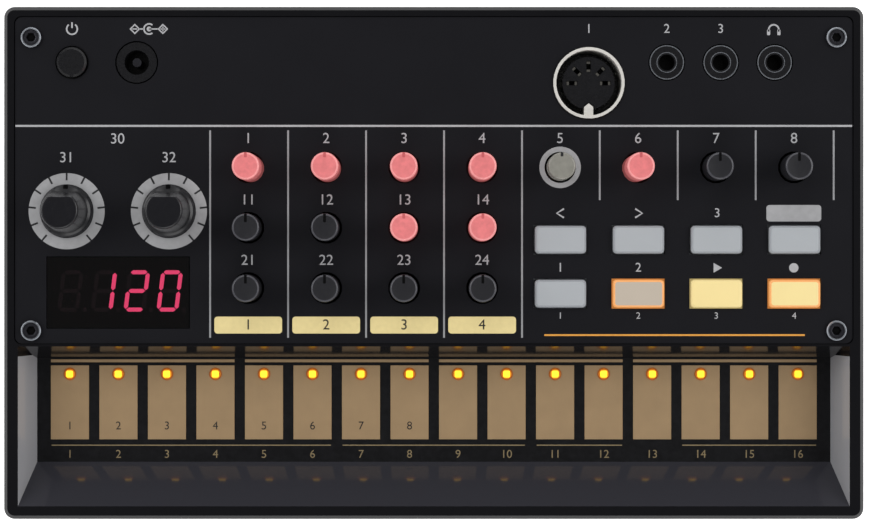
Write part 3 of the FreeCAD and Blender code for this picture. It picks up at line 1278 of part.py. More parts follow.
def make_jack(name, index):
    """Upright 3.5 mm jack with its nose in the panel."""
    body = new_body(name, at_x=jack_x(index), at_y=SOCKET_Y, at_z=BOARD_TOP)
    block = new_sketch(body, "block")
    add_rectangle(block, "block", "0", "0", "dims.jack_width", "dims.jack_depth")
    pad(body, "housing", block, "dims.jack_body_height")
    nose = new_sketch(body, "nose", "dims.jack_body_height")
    add_ring(nose, "nose", "0", "0", "dims.jack_nose_radius", ROUND_SIDES)
    pad(body, "nose", nose, "dims.board_to_panel + dims.panel_thickness - dims.jack_body_height")
    bore = new_sketch(body, "bore", "(dims.board_to_panel + dims.panel_thickness)")
    add_circle(bore, "bore", "0", "0", "dims.jack_bore_radius")
    pocket(body, "bore", bore, "dims.jack_bore_depth")


def make_speaker():
    """Flat speaker facing down on the floor: frame, cone and magnet."""
    frame = new_body("speaker_frame", at_y="dims.speaker_y", at_z=FLOOR_TOP)
    ring = new_sketch(frame, "ring")
    hole_width = "(dims.speaker_width - 2 * dims.speaker_frame_wall)"
    hole_depth = "(dims.speaker_depth - 2 * dims.speaker_frame_wall)"
    add_rectangle(ring, "outer", "0", "0", "dims.speaker_width", "dims.speaker_depth")
    add_rectangle(ring, "inner", "0", "0", hole_width, hole_depth)
    pad(frame, "ring", ring, "dims.speaker_height - dims.speaker_back")
    back = new_sketch(frame, "back", "dims.speaker_height - dims.speaker_back")
    add_rectangle(back, "back", "0", "0", "dims.speaker_width", "dims.speaker_depth")
    pad(frame, "back", back, "dims.speaker_back")

    cone = new_body("speaker_cone", at_y="dims.speaker_y", at_z=f"({FLOOR_TOP} + dims.speaker_back)")
    half_width, half_depth = f"({hole_width} / 2 - dims.cone_gap)", f"({hole_depth} / 2 - dims.cone_gap)"
    mouth = ("0", f"-{half_width}", half_width, f"-{half_depth}", half_depth)
    half_throat = "(dims.cone_throat / 2)"
    throat_top = "(dims.speaker_height - 2 * dims.speaker_back)"
    throat = (throat_top, f"-{half_throat}", half_throat, f"-{half_throat}", half_throat)
    wedge(cone, "cone", "Additive", mouth, throat)

    magnet = new_body("speaker_magnet", at_y="dims.speaker_y", at_z=f"({FLOOR_TOP} + dims.speaker_height)")
    block = new_sketch(magnet, "block")
    add_rectangle(block, "block", "0", "0", "dims.speaker_magnet_width", "dims.speaker_magnet_width")
    pad(magnet, "block", block, "dims.speaker_magnet_height")


def make_object():
    """Build every sub-part."""
    make_upper_case()
    make_lower_case()
    make_top_panel()
    make_panel_screws()
    make_case_screws()
    make_feet()
    make_battery_cover()
    make_batteries()
    make_battery_contacts()
    make_boards()
    make_touch_strip()
    make_display()
    make_small_pots()
    make_large_pots()
    make_key_switches()
    make_panel_lamps()
    make_power_button()
    make_dc_jack()
    make_din_socket()
    make_speaker()
    for index, name in enumerate(JACK_NAMES):
        make_jack(name, index)
    for index, name in enumerate(("time_knob", "depth_knob")):
        make_large_knob(name, index)
    for name, column, row in SMALL_KNOBS:
        make_small_knob(name, column, row)
    for name, column, row in KEY_NAMES:
        make_key(name, column, row)


def check_object():
    """Stop if any object of the document failed or any sub-part's shape is not sound."""
    doc.recompute()
    for thing in doc.Objects:
        if "Invalid" in thing.State or "Error" in thing.State:
            raise RuntimeError(f"{thing.Label} is in state {thing.State}")
    for part in sub_parts:
        if part.Shape.isNull() or not part.Shape.isValid() or not part.Shape.Solids:
            raise RuntimeError(f"{part.Label} has no sound solid")


def write_parts():
    """Write each sub-part's shape to a file that bears its name."""
    os.makedirs(OUTPUT_FOLDER, exist_ok=True)
    for part in sub_parts:
        part.Shape.exportStep(os.path.join(OUTPUT_FOLDER, f"{part.Label}.step"))
        print(f"{part.Label}: {len(part.Shape.Solids)} solids, {part.Shape.Volume:.1f} cubic mm")


make_object()
check_object()
write_parts()
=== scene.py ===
"""Looks of a pocket drum machine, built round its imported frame.

Lengths are millimetres in the frame's own axes until a mesh is closed, which turns them to metres.
"""

import logging
import math
from dataclasses import dataclass, field
from enum import Enum

import bmesh
import bpy
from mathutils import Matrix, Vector


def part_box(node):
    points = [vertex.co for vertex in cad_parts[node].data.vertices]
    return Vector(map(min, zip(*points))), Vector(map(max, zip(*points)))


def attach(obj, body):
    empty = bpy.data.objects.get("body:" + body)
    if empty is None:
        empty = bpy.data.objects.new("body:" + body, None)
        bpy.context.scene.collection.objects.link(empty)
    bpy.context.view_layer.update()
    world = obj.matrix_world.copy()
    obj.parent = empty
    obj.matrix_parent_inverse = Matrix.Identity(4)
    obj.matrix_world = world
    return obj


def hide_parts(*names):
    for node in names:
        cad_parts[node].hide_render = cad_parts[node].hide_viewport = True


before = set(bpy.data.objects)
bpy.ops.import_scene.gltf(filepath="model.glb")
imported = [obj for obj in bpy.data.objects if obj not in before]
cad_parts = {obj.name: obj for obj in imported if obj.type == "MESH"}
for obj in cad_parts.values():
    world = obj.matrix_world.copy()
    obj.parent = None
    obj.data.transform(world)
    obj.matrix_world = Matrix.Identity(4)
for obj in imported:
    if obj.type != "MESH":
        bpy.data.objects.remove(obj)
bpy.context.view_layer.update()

LOG = logging.getLogger("drum_machine")
MM = 0.001
CLOUD_RANGE = (0.3, 0.7)
GRAIN_RANGE = (0.25, 0.75)
ROUGHNESS_SPREAD = 0.15
LEAST_ROUGHNESS = 0.02
COAT_ROUGHNESS = 0.06
CORNER_STEPS = 6
FIGURE_SCALE = 1.38
Point = tuple[float, float]
Tree = bpy.types.NodeTree
Socket = bpy.types.NodeSocket


class Side(Enum):
    """Where a lamp hangs round the object: its direction in plan, and its power in watts."""

    RIGHT = (1.0, 0.15, 5.2)
    LEFT = (-1.0, 0.35, 4.2)
    FRONT = (0.1, -1.0, 3.0)
    BACK = (-0.2, 1.0, 2.6)


def linear(hex_colour: str) -> tuple[float, float, float, float]:
    """Turn an sRGB hex colour to the linear colour that a shader takes.

    Args:
        hex_colour: Six hex digits after a hash sign.

    Returns:
        Red, green, blue and full alpha.
    """
    parts = [int(hex_colour[i : i + 2], 16) / 255 for i in (1, 3, 5)]
    curved = [p / 12.92 if p <= 0.04045 else ((p + 0.055) / 1.055) ** 2.4 for p in parts]
    return (*curved, 1.0)


def add_node(tree: Tree, kind: str, inputs: dict | None = None, **settings: object) -> bpy.types.Node:
    """Add one node with its settings, values and links.

    Args:
        tree: The node tree that gets the node.
        kind: The node's type name, without ShaderNode before it.
        inputs: Value or output socket for each input, by name or number.
        **settings: The node's own properties.

    Returns:
        The new node.
    """
    node = tree.nodes.new(f"ShaderNode{kind}")
    for name, setting in settings.items():
        setattr(node, name, setting)
    for key, given in (inputs or {}).items():
        if isinstance(given, Socket):
            tree.links.new(given, node.inputs[key])
        else:
            node.inputs[key].default_value = given
    return node


def new_tree(name: str) -> tuple[bpy.types.Material, Tree]:
    """Start an empty node material.

    Args:
        name: The material's name.

    Returns:
        The material and its node tree.
    """
    material = bpy.data.materials.new(name)
    material.use_nodes = True
    material.node_tree.nodes.clear()
    return material, material.node_tree


def calculate(tree: Tree, operation: str, *values: object) -> Socket:
    """Add one maths node and give its result."""
    return add_node(tree, "Math", dict(enumerate(values)), operation=operation).outputs[0]


def remap(tree: Tree, value: Socket, before: Point, after: Point) -> Socket:
    """Map a value from one range to another and give the result."""
    choice = {"Value": value, 1: before[0], 2: before[1], 3: after[0], 4: after[1]}
    return add_node(tree, "MapRange", choice).outputs["Result"]


@dataclass(frozen=True)
class Moulding:
    """A moulded, painted or plated surface: a base colour with grain, mottling and fine bumps."""

    name: str
    colour: str
    roughness: float
    grain_mm: float = 0.4
    grain_depth_mm: float = 0.01
    mottle: float = 0.08
    mottle_mm: float = 9.0
    metallic: float = 0.0
    ior: float = 1.5
    specular: float = 0.5
    coat: float = 0.0
    transmission: float = 0.0
    glow: float = 0.0
    glow_colour: str = "#FFFFFF"
    stretch: tuple[float, float, float] = (1.0, 1.0, 1.0)

    def build(self) -> bpy.types.Material:
        """Make the node material once and give it back after that."""
        found = bpy.data.materials.get(self.name)
        if found:
            return found
        material, tree = new_tree(self.name)
        place = add_node(tree, "TexCoord").outputs["Object"]
        stretched = add_node(tree, "Mapping", {"Vector": place, "Scale": self.stretch})
        scaled = stretched.outputs["Vector"]
        grain_scale, cloud_scale = 1 / (self.grain_mm * MM), 1 / (self.mottle_mm * MM)
        grain = add_node(tree, "TexNoise", {"Vector": scaled, "Scale": grain_scale, "Detail": 3.0})
        cloud = add_node(tree, "TexNoise", {"Vector": place, "Scale": cloud_scale, "Detail": 2.0})
        tones = (1 - self.mottle, 1 + self.mottle)
        tone = remap(tree, cloud.outputs["Fac"], CLOUD_RANGE, tones)
        shade = add_node(tree, "HueSaturation", {"Color": linear(self.colour), "Value": tone})
        dullest = min(1.0, self.roughness * (1 + ROUGHNESS_SPREAD))
        glossiest = max(LEAST_ROUGHNESS, self.roughness * (1 - ROUGHNESS_SPREAD))
        rough = remap(tree, grain.outputs["Fac"], GRAIN_RANGE, (glossiest, dullest))
        height = {"Height": grain.outputs["Fac"], "Distance": self.grain_depth_mm * MM, "Strength": 1.0}
        inputs = {
            "Base Color": shade.outputs["Color"],
            "Roughness": rough,
            "Normal": add_node(tree, "Bump", height).outputs["Normal"],
            "Metallic": self.metallic,
            "IOR": self.ior,
            "Specular IOR Level": self.specular,
            "Coat Weight": self.coat,
            "Coat Roughness": COAT_ROUGHNESS,
            "Transmission Weight": self.transmission,
            "Emission Color": linear(self.glow_colour),
            "Emission Strength": self.glow,
        }
        shader = add_node(tree, "BsdfPrincipled", inputs)
        add_node(tree, "OutputMaterial", {"Surface": shader.outputs["BSDF"]})
        return material


@dataclass(frozen=True)
class WellGloss:
    """Gloss ABS whose polished well slopes carry a painted reflection: grey painted at the sides and charcoal
    in front.
    """

    base: Moulding
    side_colour: str = "#A6A6AA"
    front_colour: str = "#36363C"
    half_width_mm: float = 94.0
    back_mm: float = -21.0
    front_mm: float = -55.0
    least_tilt: float = 0.3
    least_rise: float = 0.1
    slope_roughness: float = 0.07

    def build(self) -> bpy.types.Material:
        """Lay the slopes' painted reflection over the plain gloss, by place and by how a face is turned."""
        material = self.base.build()
        tree = material.node_tree
        shader = next(node for node in tree.nodes if node.bl_idname == "ShaderNodeBsdfPrincipled")
        spot = add_node(tree, "TexCoord").outputs["Object"]
        place = add_node(tree, "SeparateXYZ", {"Vector": spot}).outputs
        normal = add_node(tree, "NewGeometry").outputs["True Normal"]
        turn = add_node(tree, "SeparateXYZ", {"Vector": normal}).outputs
        across = calculate(tree, "ABSOLUTE", place["X"])
        within = calculate(tree, "LESS_THAN", across, self.half_width_mm * MM)
        limits = (
            calculate(tree, "LESS_THAN", place["Y"], self.back_mm * MM),
            calculate(tree, "GREATER_THAN", place["Y"], self.front_mm * MM),
            calculate(tree, "GREATER_THAN", turn["Z"], self.least_rise),
        )
        for limit in limits:
            within = calculate(tree, "MULTIPLY", within, limit)
        side = calculate(tree, "GREATER_THAN", calculate(tree, "ABSOLUTE", turn["X"]), self.least_tilt)
        front = calculate(tree, "GREATER_THAN", turn["Y"], self.least_tilt)
        colour = shader.inputs["Base Color"].links[0].from_socket
        # Painted reflection: the side slopes are painted grey and the front slope charcoal
        for mask, tone in ((side, self.side_colour), (front, self.front_colour)):
            share = calculate(tree, "MULTIPLY", within, mask)
            mixed = add_node(tree, "Mix", {0: share, 6: colour, 7: linear(tone)}, data_type="RGBA")
            colour = mixed.outputs[2]
        tree.links.new(colour, shader.inputs["Base Color"])
        both = calculate(tree, "MULTIPLY", within, calculate(tree, "MAXIMUM", side, front))
        plain = shader.inputs["Roughness"].links[0].from_socket
        choice = {0: both, 2: plain, 3: self.slope_roughness}
        rough = add_node(tree, "Mix", choice, data_type="FLOAT")
        tree.links.new(rough.outputs[0], shader.inputs["Roughness"])
        return material


# Injection-moulded gloss ABS: near black, sharp reflections
GLOSS_ABS = Moulding("gloss_abs_smoke_with_painted_reflection", "#101013", 0.14, 1.6, 0.001, 0.05, specular=0.45)
# The same gloss with the well's polished slopes, which carry a painted reflection: grey at the sides,
# charcoal in front
CASE_GLOSS_WITH_PAINTED_REFLECTION = WellGloss(GLOSS_ABS)
# Spark-eroded ABS: a fine pebble that spreads highlights
TEXTURED_ABS = Moulding("spark_textured_abs", "#202024", 0.5, grain_mm=0.35, grain_depth_mm=0.03)
# Painted aluminium: flat black with a fine powder grain
PAINTED_PANEL = Moulding(
    "matt_black_painted_aluminium", "#17171B", 0.5, 0.25, 0.004, 0.06, 14.0, specular=0.12
)
# Black-oxide steel: dark metal with a worn sheen
BLACK_STEEL = Moulding("black_oxide_steel", "#4A4A50", 0.34, 0.2, 0.004, 0.12, 1.5, metallic=1.0)
# Zinc-plated steel: bluish silver with a soft bloom
ZINC_STEEL = Moulding("zinc_plated_steel", "#B9BEC6", 0.32, 0.3, 0.003, 0.08, 2.0, metallic=1.0)
# Nickel-plated brass, drawn: bright and a little warm
NICKEL = Moulding("nickel_plated_brass", "#CFCBC2", 0.2, 0.25, 0.002, 0.06, 1.6, metallic=1.0)
# Satin nickel: rough enough to gather the whole room's light
SATIN_NICKEL = Moulding("satin_nickel", "#EDEAE4", 0.5, 0.25, 0.003, 0.05, 1.6, metallic=0.55)
# Moulded nitrile rubber: dull, with a faint grain
FOOT_RUBBER = Moulding("nitrile_rubber", "#161617", 0.85, 0.5, 0.02, 0.15, 4.0, specular=0.3)
# Printed sleeve of a dry cell: satin green film over steel
CELL_SLEEVE = Moulding("satin_cell_sleeve", "#5C7A55", 0.35, 0.6, 0.003, 0.1, 12.0)
# Green solder mask over glass cloth: the weave shows through
GREEN_BOARD = Moulding("green_solder_mask", "#1F5A38", 0.32, 0.8, 0.01, 0.2, 3.0, coat=0.4)
# Black solder mask over glass cloth
BLACK_BOARD = Moulding("black_solder_mask", "#141416", 0.4, 0.5, 0.01, 0.3, 1.2, specular=0.2)
# Flat cable in clear film: pale grey with conductor lines
CABLE_FILM = Moulding("flat_cable_film", "#B8BAB6", 0.4, 0.6, 0.01, 0.25, 0.8, stretch=(1.0, 0.02, 1.0))
# Immersion gold over copper: tan, finely brushed
GOLD_PAD = Moulding(
    "immersion_gold", "#AA8E6A", 0.5, 0.3, 0.002, 0.04, 5.0, metallic=0.15, stretch=(1.0, 0.1, 1.0)
)
# Smoked polycarbonate: polished, with a breath of red
SMOKED_PANE = Moulding(
    "smoked_polycarbonate", "#6E5A60", 0.03, 2.0, 0.0005, 0.02, 9.0, ior=1.58, specular=0.15, transmission=1.0
)
# Filled epoxy block of the digit module: dead black
MODULE_EPOXY = Moulding("black_epoxy_module", "#0B090A", 0.45, 0.4, 0.01, 0.1, 3.0)
# Glass-filled nylon of pots and switches: dry dark grey
HOUSING_NYLON = Moulding("glass_filled_nylon", "#232326", 0.6, 0.3, 0.02, 0.1, 3.0)
# Black moulded socket insert, slightly glossy
SOCKET_ABS = Moulding("socket_abs", "#131316", 0.28, 0.5, 0.004, 0.08, 2.0)
# Painted shade: a near-black matt colour inside bores, slots and notches, where no light comes back
BORE_PAINTED_SHADE = Moulding("socket_bore_painted_shade", "#050506", 0.8, 0.5, 0.004, 0.05, 2.0, specular=0.1)
# Stamped steel basket of the speaker
SPEAKER_STEEL = Moulding("painted_steel_basket", "#3A3B3E", 0.45, 0.4, 0.006, 0.1, 5.0, metallic=0.4)
# Pressed paper of the cone
CONE_PAPER = Moulding("pressed_paper", "#2A2724", 0.9, 0.5, 0.05, 0.2, 2.0, specular=0.2)
# Sintered ferrite: charcoal and gritty
FERRITE = Moulding("sintered_ferrite", "#2C2C2E", 0.7, 0.5, 0.03, 0.15, 2.0)
# Satin black ABS of the small knobs
KNOB_ABS = Moulding("satin_knob_abs", "#212125", 0.36, 0.4, 0.004, 0.05, 2.0)
# Rim of a satin knob in a paler copy of its plastic: a painted highlight where the rim catches the light
KNOB_RIM_PAINTED_HIGHLIGHT = Moulding("satin_knob_rim_painted_highlight", "#46464C", 0.3, 0.4, 0.004, 0.05, 2.0)
# Gloss black ABS of the large knobs
LARGE_KNOB_ABS = Moulding("gloss_knob_abs", "#17171B", 0.24, 0.8, 0.002, 0.05, 4.0)
# Translucent pink acrylic with a painted glow: it gives off light though no lamp lights it
PINK_ACRYLIC_PAINTED_GLOW = Moulding(
    "pink_acrylic_painted_glow", "#CE7274", 0.35, 0.6, 0.004, 0.12, 1.2, glow=0.24, glow_colour="#F08484"
)
# Rim of the pink acrylic: paler and glowing more, a painted highlight on the edge
PINK_EDGE_PAINTED_HIGHLIGHT = Moulding(
    "pink_acrylic_edge_painted_highlight", "#DA8A8A", 0.35, 0.6, 0.004, 0.08, 1.2, glow=0.3, glow_colour="#F49A98"
)
# Groove in the pink acrylic: darker and glowing less, painted shade in the groove
PINK_GROOVE_PAINTED_SHADE = Moulding(
    "pink_acrylic_groove_painted_shade", "#B8585C", 0.4, 0.6, 0.004, 0.05, 1.2, glow=0.16, glow_colour="#E06468"
)
# Frosted clear acrylic over a dark stem
CLEAR_ACRYLIC = Moulding("frosted_clear_acrylic", "#8C8A82", 0.35, 0.6, 0.006, 0.1, 1.6, coat=0.3)
# Moulded silicone rubber of the grey keys
KEY_SILICONE = Moulding("grey_key_silicone", "#B0B4B8", 0.55, 0.4, 0.004, 0.015, 12.0, specular=0.3)
# Rim of a grey key: the same silicone a little darker, painted shade on its falling edge
KEY_RIM_PAINTED_SHADE = Moulding("grey_key_rim_painted_shade", "#A0A4A9", 0.5, 0.4, 0.004, 0.02, 8.0, specular=0.3)
# Face of the step key: grey silicone warmed by its lamp
BEIGE_KEY = Moulding(
    "beige_lit_silicone", "#BCB2A4", 0.55, 0.4, 0.004, 0.02, 12.0, glow=0.06, glow_colour="#F0C8A0"
)
# Lit rim of the step key: orange light at the edge
ORANGE_RIM = Moulding(
    "orange_lit_rim", "#D89C64", 0.4, 0.4, 0.004, 0.04, 3.0, glow=0.4, glow_colour="#F4A050"
)
# Face of a lit key: warm light through silicone
WARM_KEY = Moulding(
    "warm_lit_silicone", "#DCC88C", 0.5, 0.4, 0.004, 0.02, 6.0, glow=0.28, glow_colour="#F6E09C"
)
# Glowing heart of a strip lamp
LAMP_CORE = Moulding("lamp_core", "#FFE040", 0.3, 0.3, 0.004, 0.02, 1.0, glow=1.7, glow_colour="#FFC024")
# Amber ring where the light spills into the lens
LAMP_RING = Moulding("lamp_ring", "#A86420", 0.3, 0.3, 0.004, 0.1, 0.6, glow=0.5, glow_colour="#E88A20")
# Thin copper-brown edge round a lamp window
LAMP_EDGE = Moulding(
    "lamp_window_edge", "#A05818", 0.4, 0.3, 0.004, 0.1, 0.6, glow=0.12, glow_colour="#D06010"
)
# White lamp inside, unlit epoxy
WHITE_LAMP = Moulding("white_lamp_epoxy", "#D8D8D2", 0.3, 0.4, 0.004, 0.05, 1.0)
# Lit bar of a digit
DIGIT_LIT = Moulding(
    "lit_digit_bar", "#F0506E", 0.4, 0.5, 0.002, 0.04, 2.0, glow=4.8, glow_colour="#FF6190"
)
# Dark bar of a digit, with a faint painted glow that stands in for light falling on it through the pane
DIGIT_DARK_PAINTED_GLOW = Moulding(
    "dark_digit_bar_painted_glow", "#3A3436", 0.5, 0.5, 0.002, 0.04, 2.0, glow=0.1, glow_colour="#8A8084"
)
# Screen-printed white ink: flat, dry and slightly uneven
WHITE_INK = Moulding("white_ink", "#B4B4B7", 0.6, 0.15, 0.002, 0.05, 0.8, specular=0.2)
# Thinner print of the column lines: a greyer white
RULE_INK = Moulding("rule_ink", "#9C9C9F", 0.6, 0.15, 0.002, 0.05, 0.8, specular=0.2)
# Bare gold of the strip's figures, dulled by the mask
GOLD_INK = Moulding("gold_figure", "#8A7A5C", 0.5, 0.2, 0.002, 0.08, 0.8, specular=0.3)
# Silver-grey ink of the rings and the plate
GREY_INK = Moulding("grey_ink", "#A8A8AA", 0.55, 0.15, 0.002, 0.06, 1.6, specular=0.3)
# Black ink of ticks and of figures on pale plates
BLACK_INK = Moulding("black_ink", "#17171A", 0.5, 0.15, 0.002, 0.06, 0.8)
# Orange ink of one rule
ORANGE_INK = Moulding("orange_ink", "#E8A040", 0.55, 0.15, 0.002, 0.06, 0.8)
# Cream ink of the column plates
CREAM_INK = Moulding("cream_ink", "#EFDC9E", 0.6, 0.15, 0.002, 0.03, 1.2, specular=0.2)


def circle(radius: float, steps: int = 64, at: Point = (0.0, 0.0)) -> list[Point]:
    """Give the corners of a circle, counter-clockwise."""
    turn = 2 * math.pi / steps
    return [(at[0] + radius * math.cos(i * turn), at[1] + radius * math.sin(i * turn)) for i in range(steps)]


def rounded(width: float, depth: float, radius: float, at: Point = (0.0, 0.0)) -> list[Point]:
    """Corners of a rectangle with round corners.

    Args:
        width: Size across.
        depth: Size along.
        radius: Corner radius.
        at: Its middle.

    Returns:
        The corners, counter-clockwise.
    """
    corners = []
    for quarter, (sx, sy) in enumerate(((1, 1), (-1, 1), (-1, -1), (1, -1))):
        middle_x, middle_y = at[0] + sx * (width / 2 - radius), at[1] + sy * (depth / 2 - radius)
        for step in range(CORNER_STEPS + 1):
            angle = (quarter + step / CORNER_STEPS) * math.pi / 2
            corners.append((middle_x + radius * math.cos(angle), middle_y + radius * math.sin(angle)))
    return corners


def arc(at: Point, radius: float, degrees: range) -> list[Point]:
    """Give points along an arc, at whole degrees counter-clockwise from the right."""
    angles = [math.radians(turn) for turn in degrees]
    return [(at[0] + radius * math.cos(a), at[1] + radius * math.sin(a)) for a in angles]


def show(name: str, data: bpy.types.ID) -> bpy.types.Object:
    """Make an object of the data and put it in the scene."""
    made = bpy.data.objects.new(name, data)
    bpy.context.scene.collection.objects.link(made)
    return made


class Sculptor:
    """Builds one mesh in millimetres and turns it into a piece of the object."""

    def __init__(self, name: str) -> None:
        """Start an empty mesh for the piece of that name."""
        self.name = name
        self.mesh = bmesh.new()

    def loop(self, corners: list[Point], height: float) -> list[bmesh.types.BMVert]:
        """Lay a ring of points at one height."""
        return [self.mesh.verts.new((x, y, height)) for x, y in corners]

    def face(self, points: list[bmesh.types.BMVert], finish: int) -> None:
        """Close one face and give it a finish number."""
        made = self.mesh.faces.new(points)
        made.material_index = finish

    def skirt(self, low: list[bmesh.types.BMVert], high: list[bmesh.types.BMVert], finish: int) -> None:
        """Join two rings with a belt of faces."""
        count = len(low)
        for i in range(count):
            j = (i + 1) % count
            self.face([low[i], low[j], high[j], high[i]], finish)

    def stack(self, rings: list[tuple[list[Point], float]], finishes: list[int]) -> None:
        """Build a solid from rings laid one over another.

        Args:
            rings: Outline and height of each ring, from below up.
            finishes: Finish number of each belt, then of the top face. The bottom has the first.
        """
        loops = [self.loop(corners, height) for corners, height in rings]
        for index in range(len(loops) - 1):
            self.skirt(loops[index], loops[index + 1], finishes[index])
        self.face(loops[-1], finishes[-1])
        self.face(list(reversed(loops[0])), finishes[0])

    def slab(self, outline: list[Point], low: float, high: float, finish: int = 0) -> None:
        """Build a flat plate from an outline."""
        self.stack([(outline, low), (outline, high)], [finish, finish])

    def band(
        self, at: Point, radii: Point, low: float, high: float, finish: int = 0, steps: int = 64
    ) -> None:
        """Build a flat round ring from its outer and inner radius."""
        corners = ((radii[0], low), (radii[0], high), (radii[1], high), (radii[1], low))
        loops = [self.loop(circle(radius, steps, at), height) for radius, height in corners]
        for index in range(4):
            self.skirt(loops[index], loops[(index + 1) % 4], finish)

    def stroke(self, points: list[Point], width: float, low: float, high: float, finish: int = 0) -> None:
        """Build a flat line through points, with square ends.

        Args:
            points: The line's middle.
            width: Its full width.
            low: Underside height.
            high: Top height.
            finish: Finish number.
        """
        left, right = [], []
        for index, point in enumerate(points):
            before, after = points[max(index - 1, 0)], points[min(index + 1, len(points) - 1)]
            along = Vector((after[0] - before[0], after[1] - before[1])).normalized() * (width / 2)
            left.append((point[0] - along.y, point[1] + along.x))
            right.append((point[0] + along.y, point[1] - along.x))
        self.slab(right + left[::-1], low, high, finish)

    def turned(self, profile: list[Point], at: Point, finishes: list[int], steps: int = 72) -> None:
        """Turn a profile of radius and height pairs round an upright axis.

        Args:
            profile: Radius and height pairs from the lowest rim to the last; a last radius of 0 closes it.
            at: The axis in plan.
            finishes: Finish number of each belt.
            steps: Segments round the axis.
        """
        rings = []
        for radius, height in profile:
            if radius:
                rings.append(self.loop(circle(radius, steps, at), height))
            else:
                rings.append([self.mesh.verts.new((at[0], at[1], height))])
        for index in range(len(rings) - 1):
            low, high = rings[index], rings[index + 1]
            if len(high) == 1:
                for i in range(steps):
                    self.face([low[i], low[(i + 1) % steps], high[0]], finishes[index])
            elif len(low) == 1:
                for i in range(steps):
                    self.face([low[0], high[(i + 1) % steps], high[i]], finishes[index])
            else:
                self.skirt(low, high, finishes[index])

    def text(self, words: str, at: Point, height: float, level: float, finish: int = 0) -> None:
        """Lay a number or sign in the built-in face.

        Args:
            words: The characters.
            at: Middle of the line.
            height: Height of a figure.
            level: Height of its top face.
            finish: Finish number.
        """
        curve = bpy.data.curves.new("figures", "FONT")
        curve.body = words
        curve.align_x = "CENTER"
        curve.align_y = "CENTER"
        curve.size = height * FIGURE_SCALE
        carrier = bpy.data.objects.new("figures", curve)
        flat = bpy.data.meshes.new_from_object(carrier)
        first = len(self.mesh.verts)
        faces = len(self.mesh.faces)
        self.mesh.from_mesh(flat)
        self.mesh.verts.ensure_lookup_table()
        self.mesh.faces.ensure_lookup_table()
        for point in self.mesh.verts[first:]:
            point.co += Vector((at[0], at[1], level))
        for made in self.mesh.faces[faces:]:
            made.material_index = finish
        bpy.data.objects.remove(carrier)
        bpy.data.curves.remove(curve)
        bpy.data.meshes.remove(flat)

    def close(
        self,
        finishes: list[Moulding],
        body: str,
        slot: str,
        replaces: tuple[str, ...] = (),
        smooth: float = 35.0,
    ) -> bpy.types.Object:
        """Make the piece, dress it and let it ride on its body.

        Args:
            finishes: The finishes that the finish numbers stand for.
            body: The CAD body it rides on.
            slot: The record's material slot; not used.
            replaces: CAD nodes that it stands for.
            smooth: Largest angle, in degrees, that is shaded as round.

        Returns:
            The finished object.
        """
        bmesh.ops.recalc_face_normals(self.mesh, faces=self.mesh.faces)
        for face in self.mesh.faces:
            face.smooth = True
        for edge in self.mesh.edges:
            edge.smooth = edge.calc_face_angle(0.0) < math.radians(smooth)
        for point in self.mesh.verts:
            point.co *= MM
        data = bpy.data.meshes.new(self.name)
        self.mesh.to_mesh(data)
        self.mesh.free()
        for finish in finishes:
            data.materials.append(finish.build())
        made = show(self.name, data)
        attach(made, body)
        if replaces:
            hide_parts(*replaces)
        return made


def dress(finish: Moulding | WellGloss, *nodes: str) -> None:
    """Give a finish to CAD nodes whose shape is right as it is.

    Args:
        finish: The finish.
        *nodes: Names of the nodes.
    """
    for name in nodes:
        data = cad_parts[name].data
        data.materials.clear()
        data.materials.append(finish.build())


def middle_of(node: str) -> Point:
    """Give the middle of a CAD node in plan, in millimetres."""
    low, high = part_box(node)
    return ((low.x + high.x) / 2 / MM, (low.y + high.y) / 2 / MM)


def top_of(node: str) -> float:
    """Give the top of a CAD node in millimetres."""
    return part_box(node)[1].z / MM


def bottom_of(node: str) -> float:
    """Give the bottom of a CAD node in millimetres."""
    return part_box(node)[0].z / MM


PLAIN_NODES = {
    CASE_GLOSS_WITH_PAINTED_REFLECTION: ("upper_case",),
    TEXTURED_ABS: ("lower_case", "battery_cover"),
    PAINTED_PANEL: ("top_panel",),
    ZINC_STEEL: ("case_screws",),
    FOOT_RUBBER: ("rubber_feet",),
    CELL_SLEEVE: ("batteries",),
    NICKEL: ("battery_contacts", "din_contacts"),
    BLACK_STEEL: ("dc_jack_pin",),
    GREEN_BOARD: ("main_board",),
    BLACK_BOARD: ("touch_strip_board",),
    CABLE_FILM: ("board_cable",),
    MODULE_EPOXY: ("display_module",),
    HOUSING_NYLON: ("small_pots", "large_pots", "key_switches", "power_switch"),
    WHITE_LAMP: ("panel_lamps",),
    SPEAKER_STEEL: ("speaker_frame",),
    CONE_PAPER: ("speaker_cone",),
    FERRITE: ("speaker_magnet",),
    SMOKED_PANE: ("display_window",),
}


@dataclass
class Shells:
    """The two shells, the battery cover, the feet and what is inside."""

    edge_round: float = 0.2
    sharp_degrees: float = 35.0

    def build(self) -> None:
        """Dress every node whose CAD shape is kept."""
        for finish, nodes in PLAIN_NODES.items():
            dress(finish, *nodes)
        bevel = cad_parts["upper_case"].modifiers.new("worn_edges", "BEVEL")
        bevel.width, bevel.segments = self.edge_round * MM, 2
        bevel.limit_method, bevel.angle_limit = "ANGLE", math.radians(self.sharp_degrees)


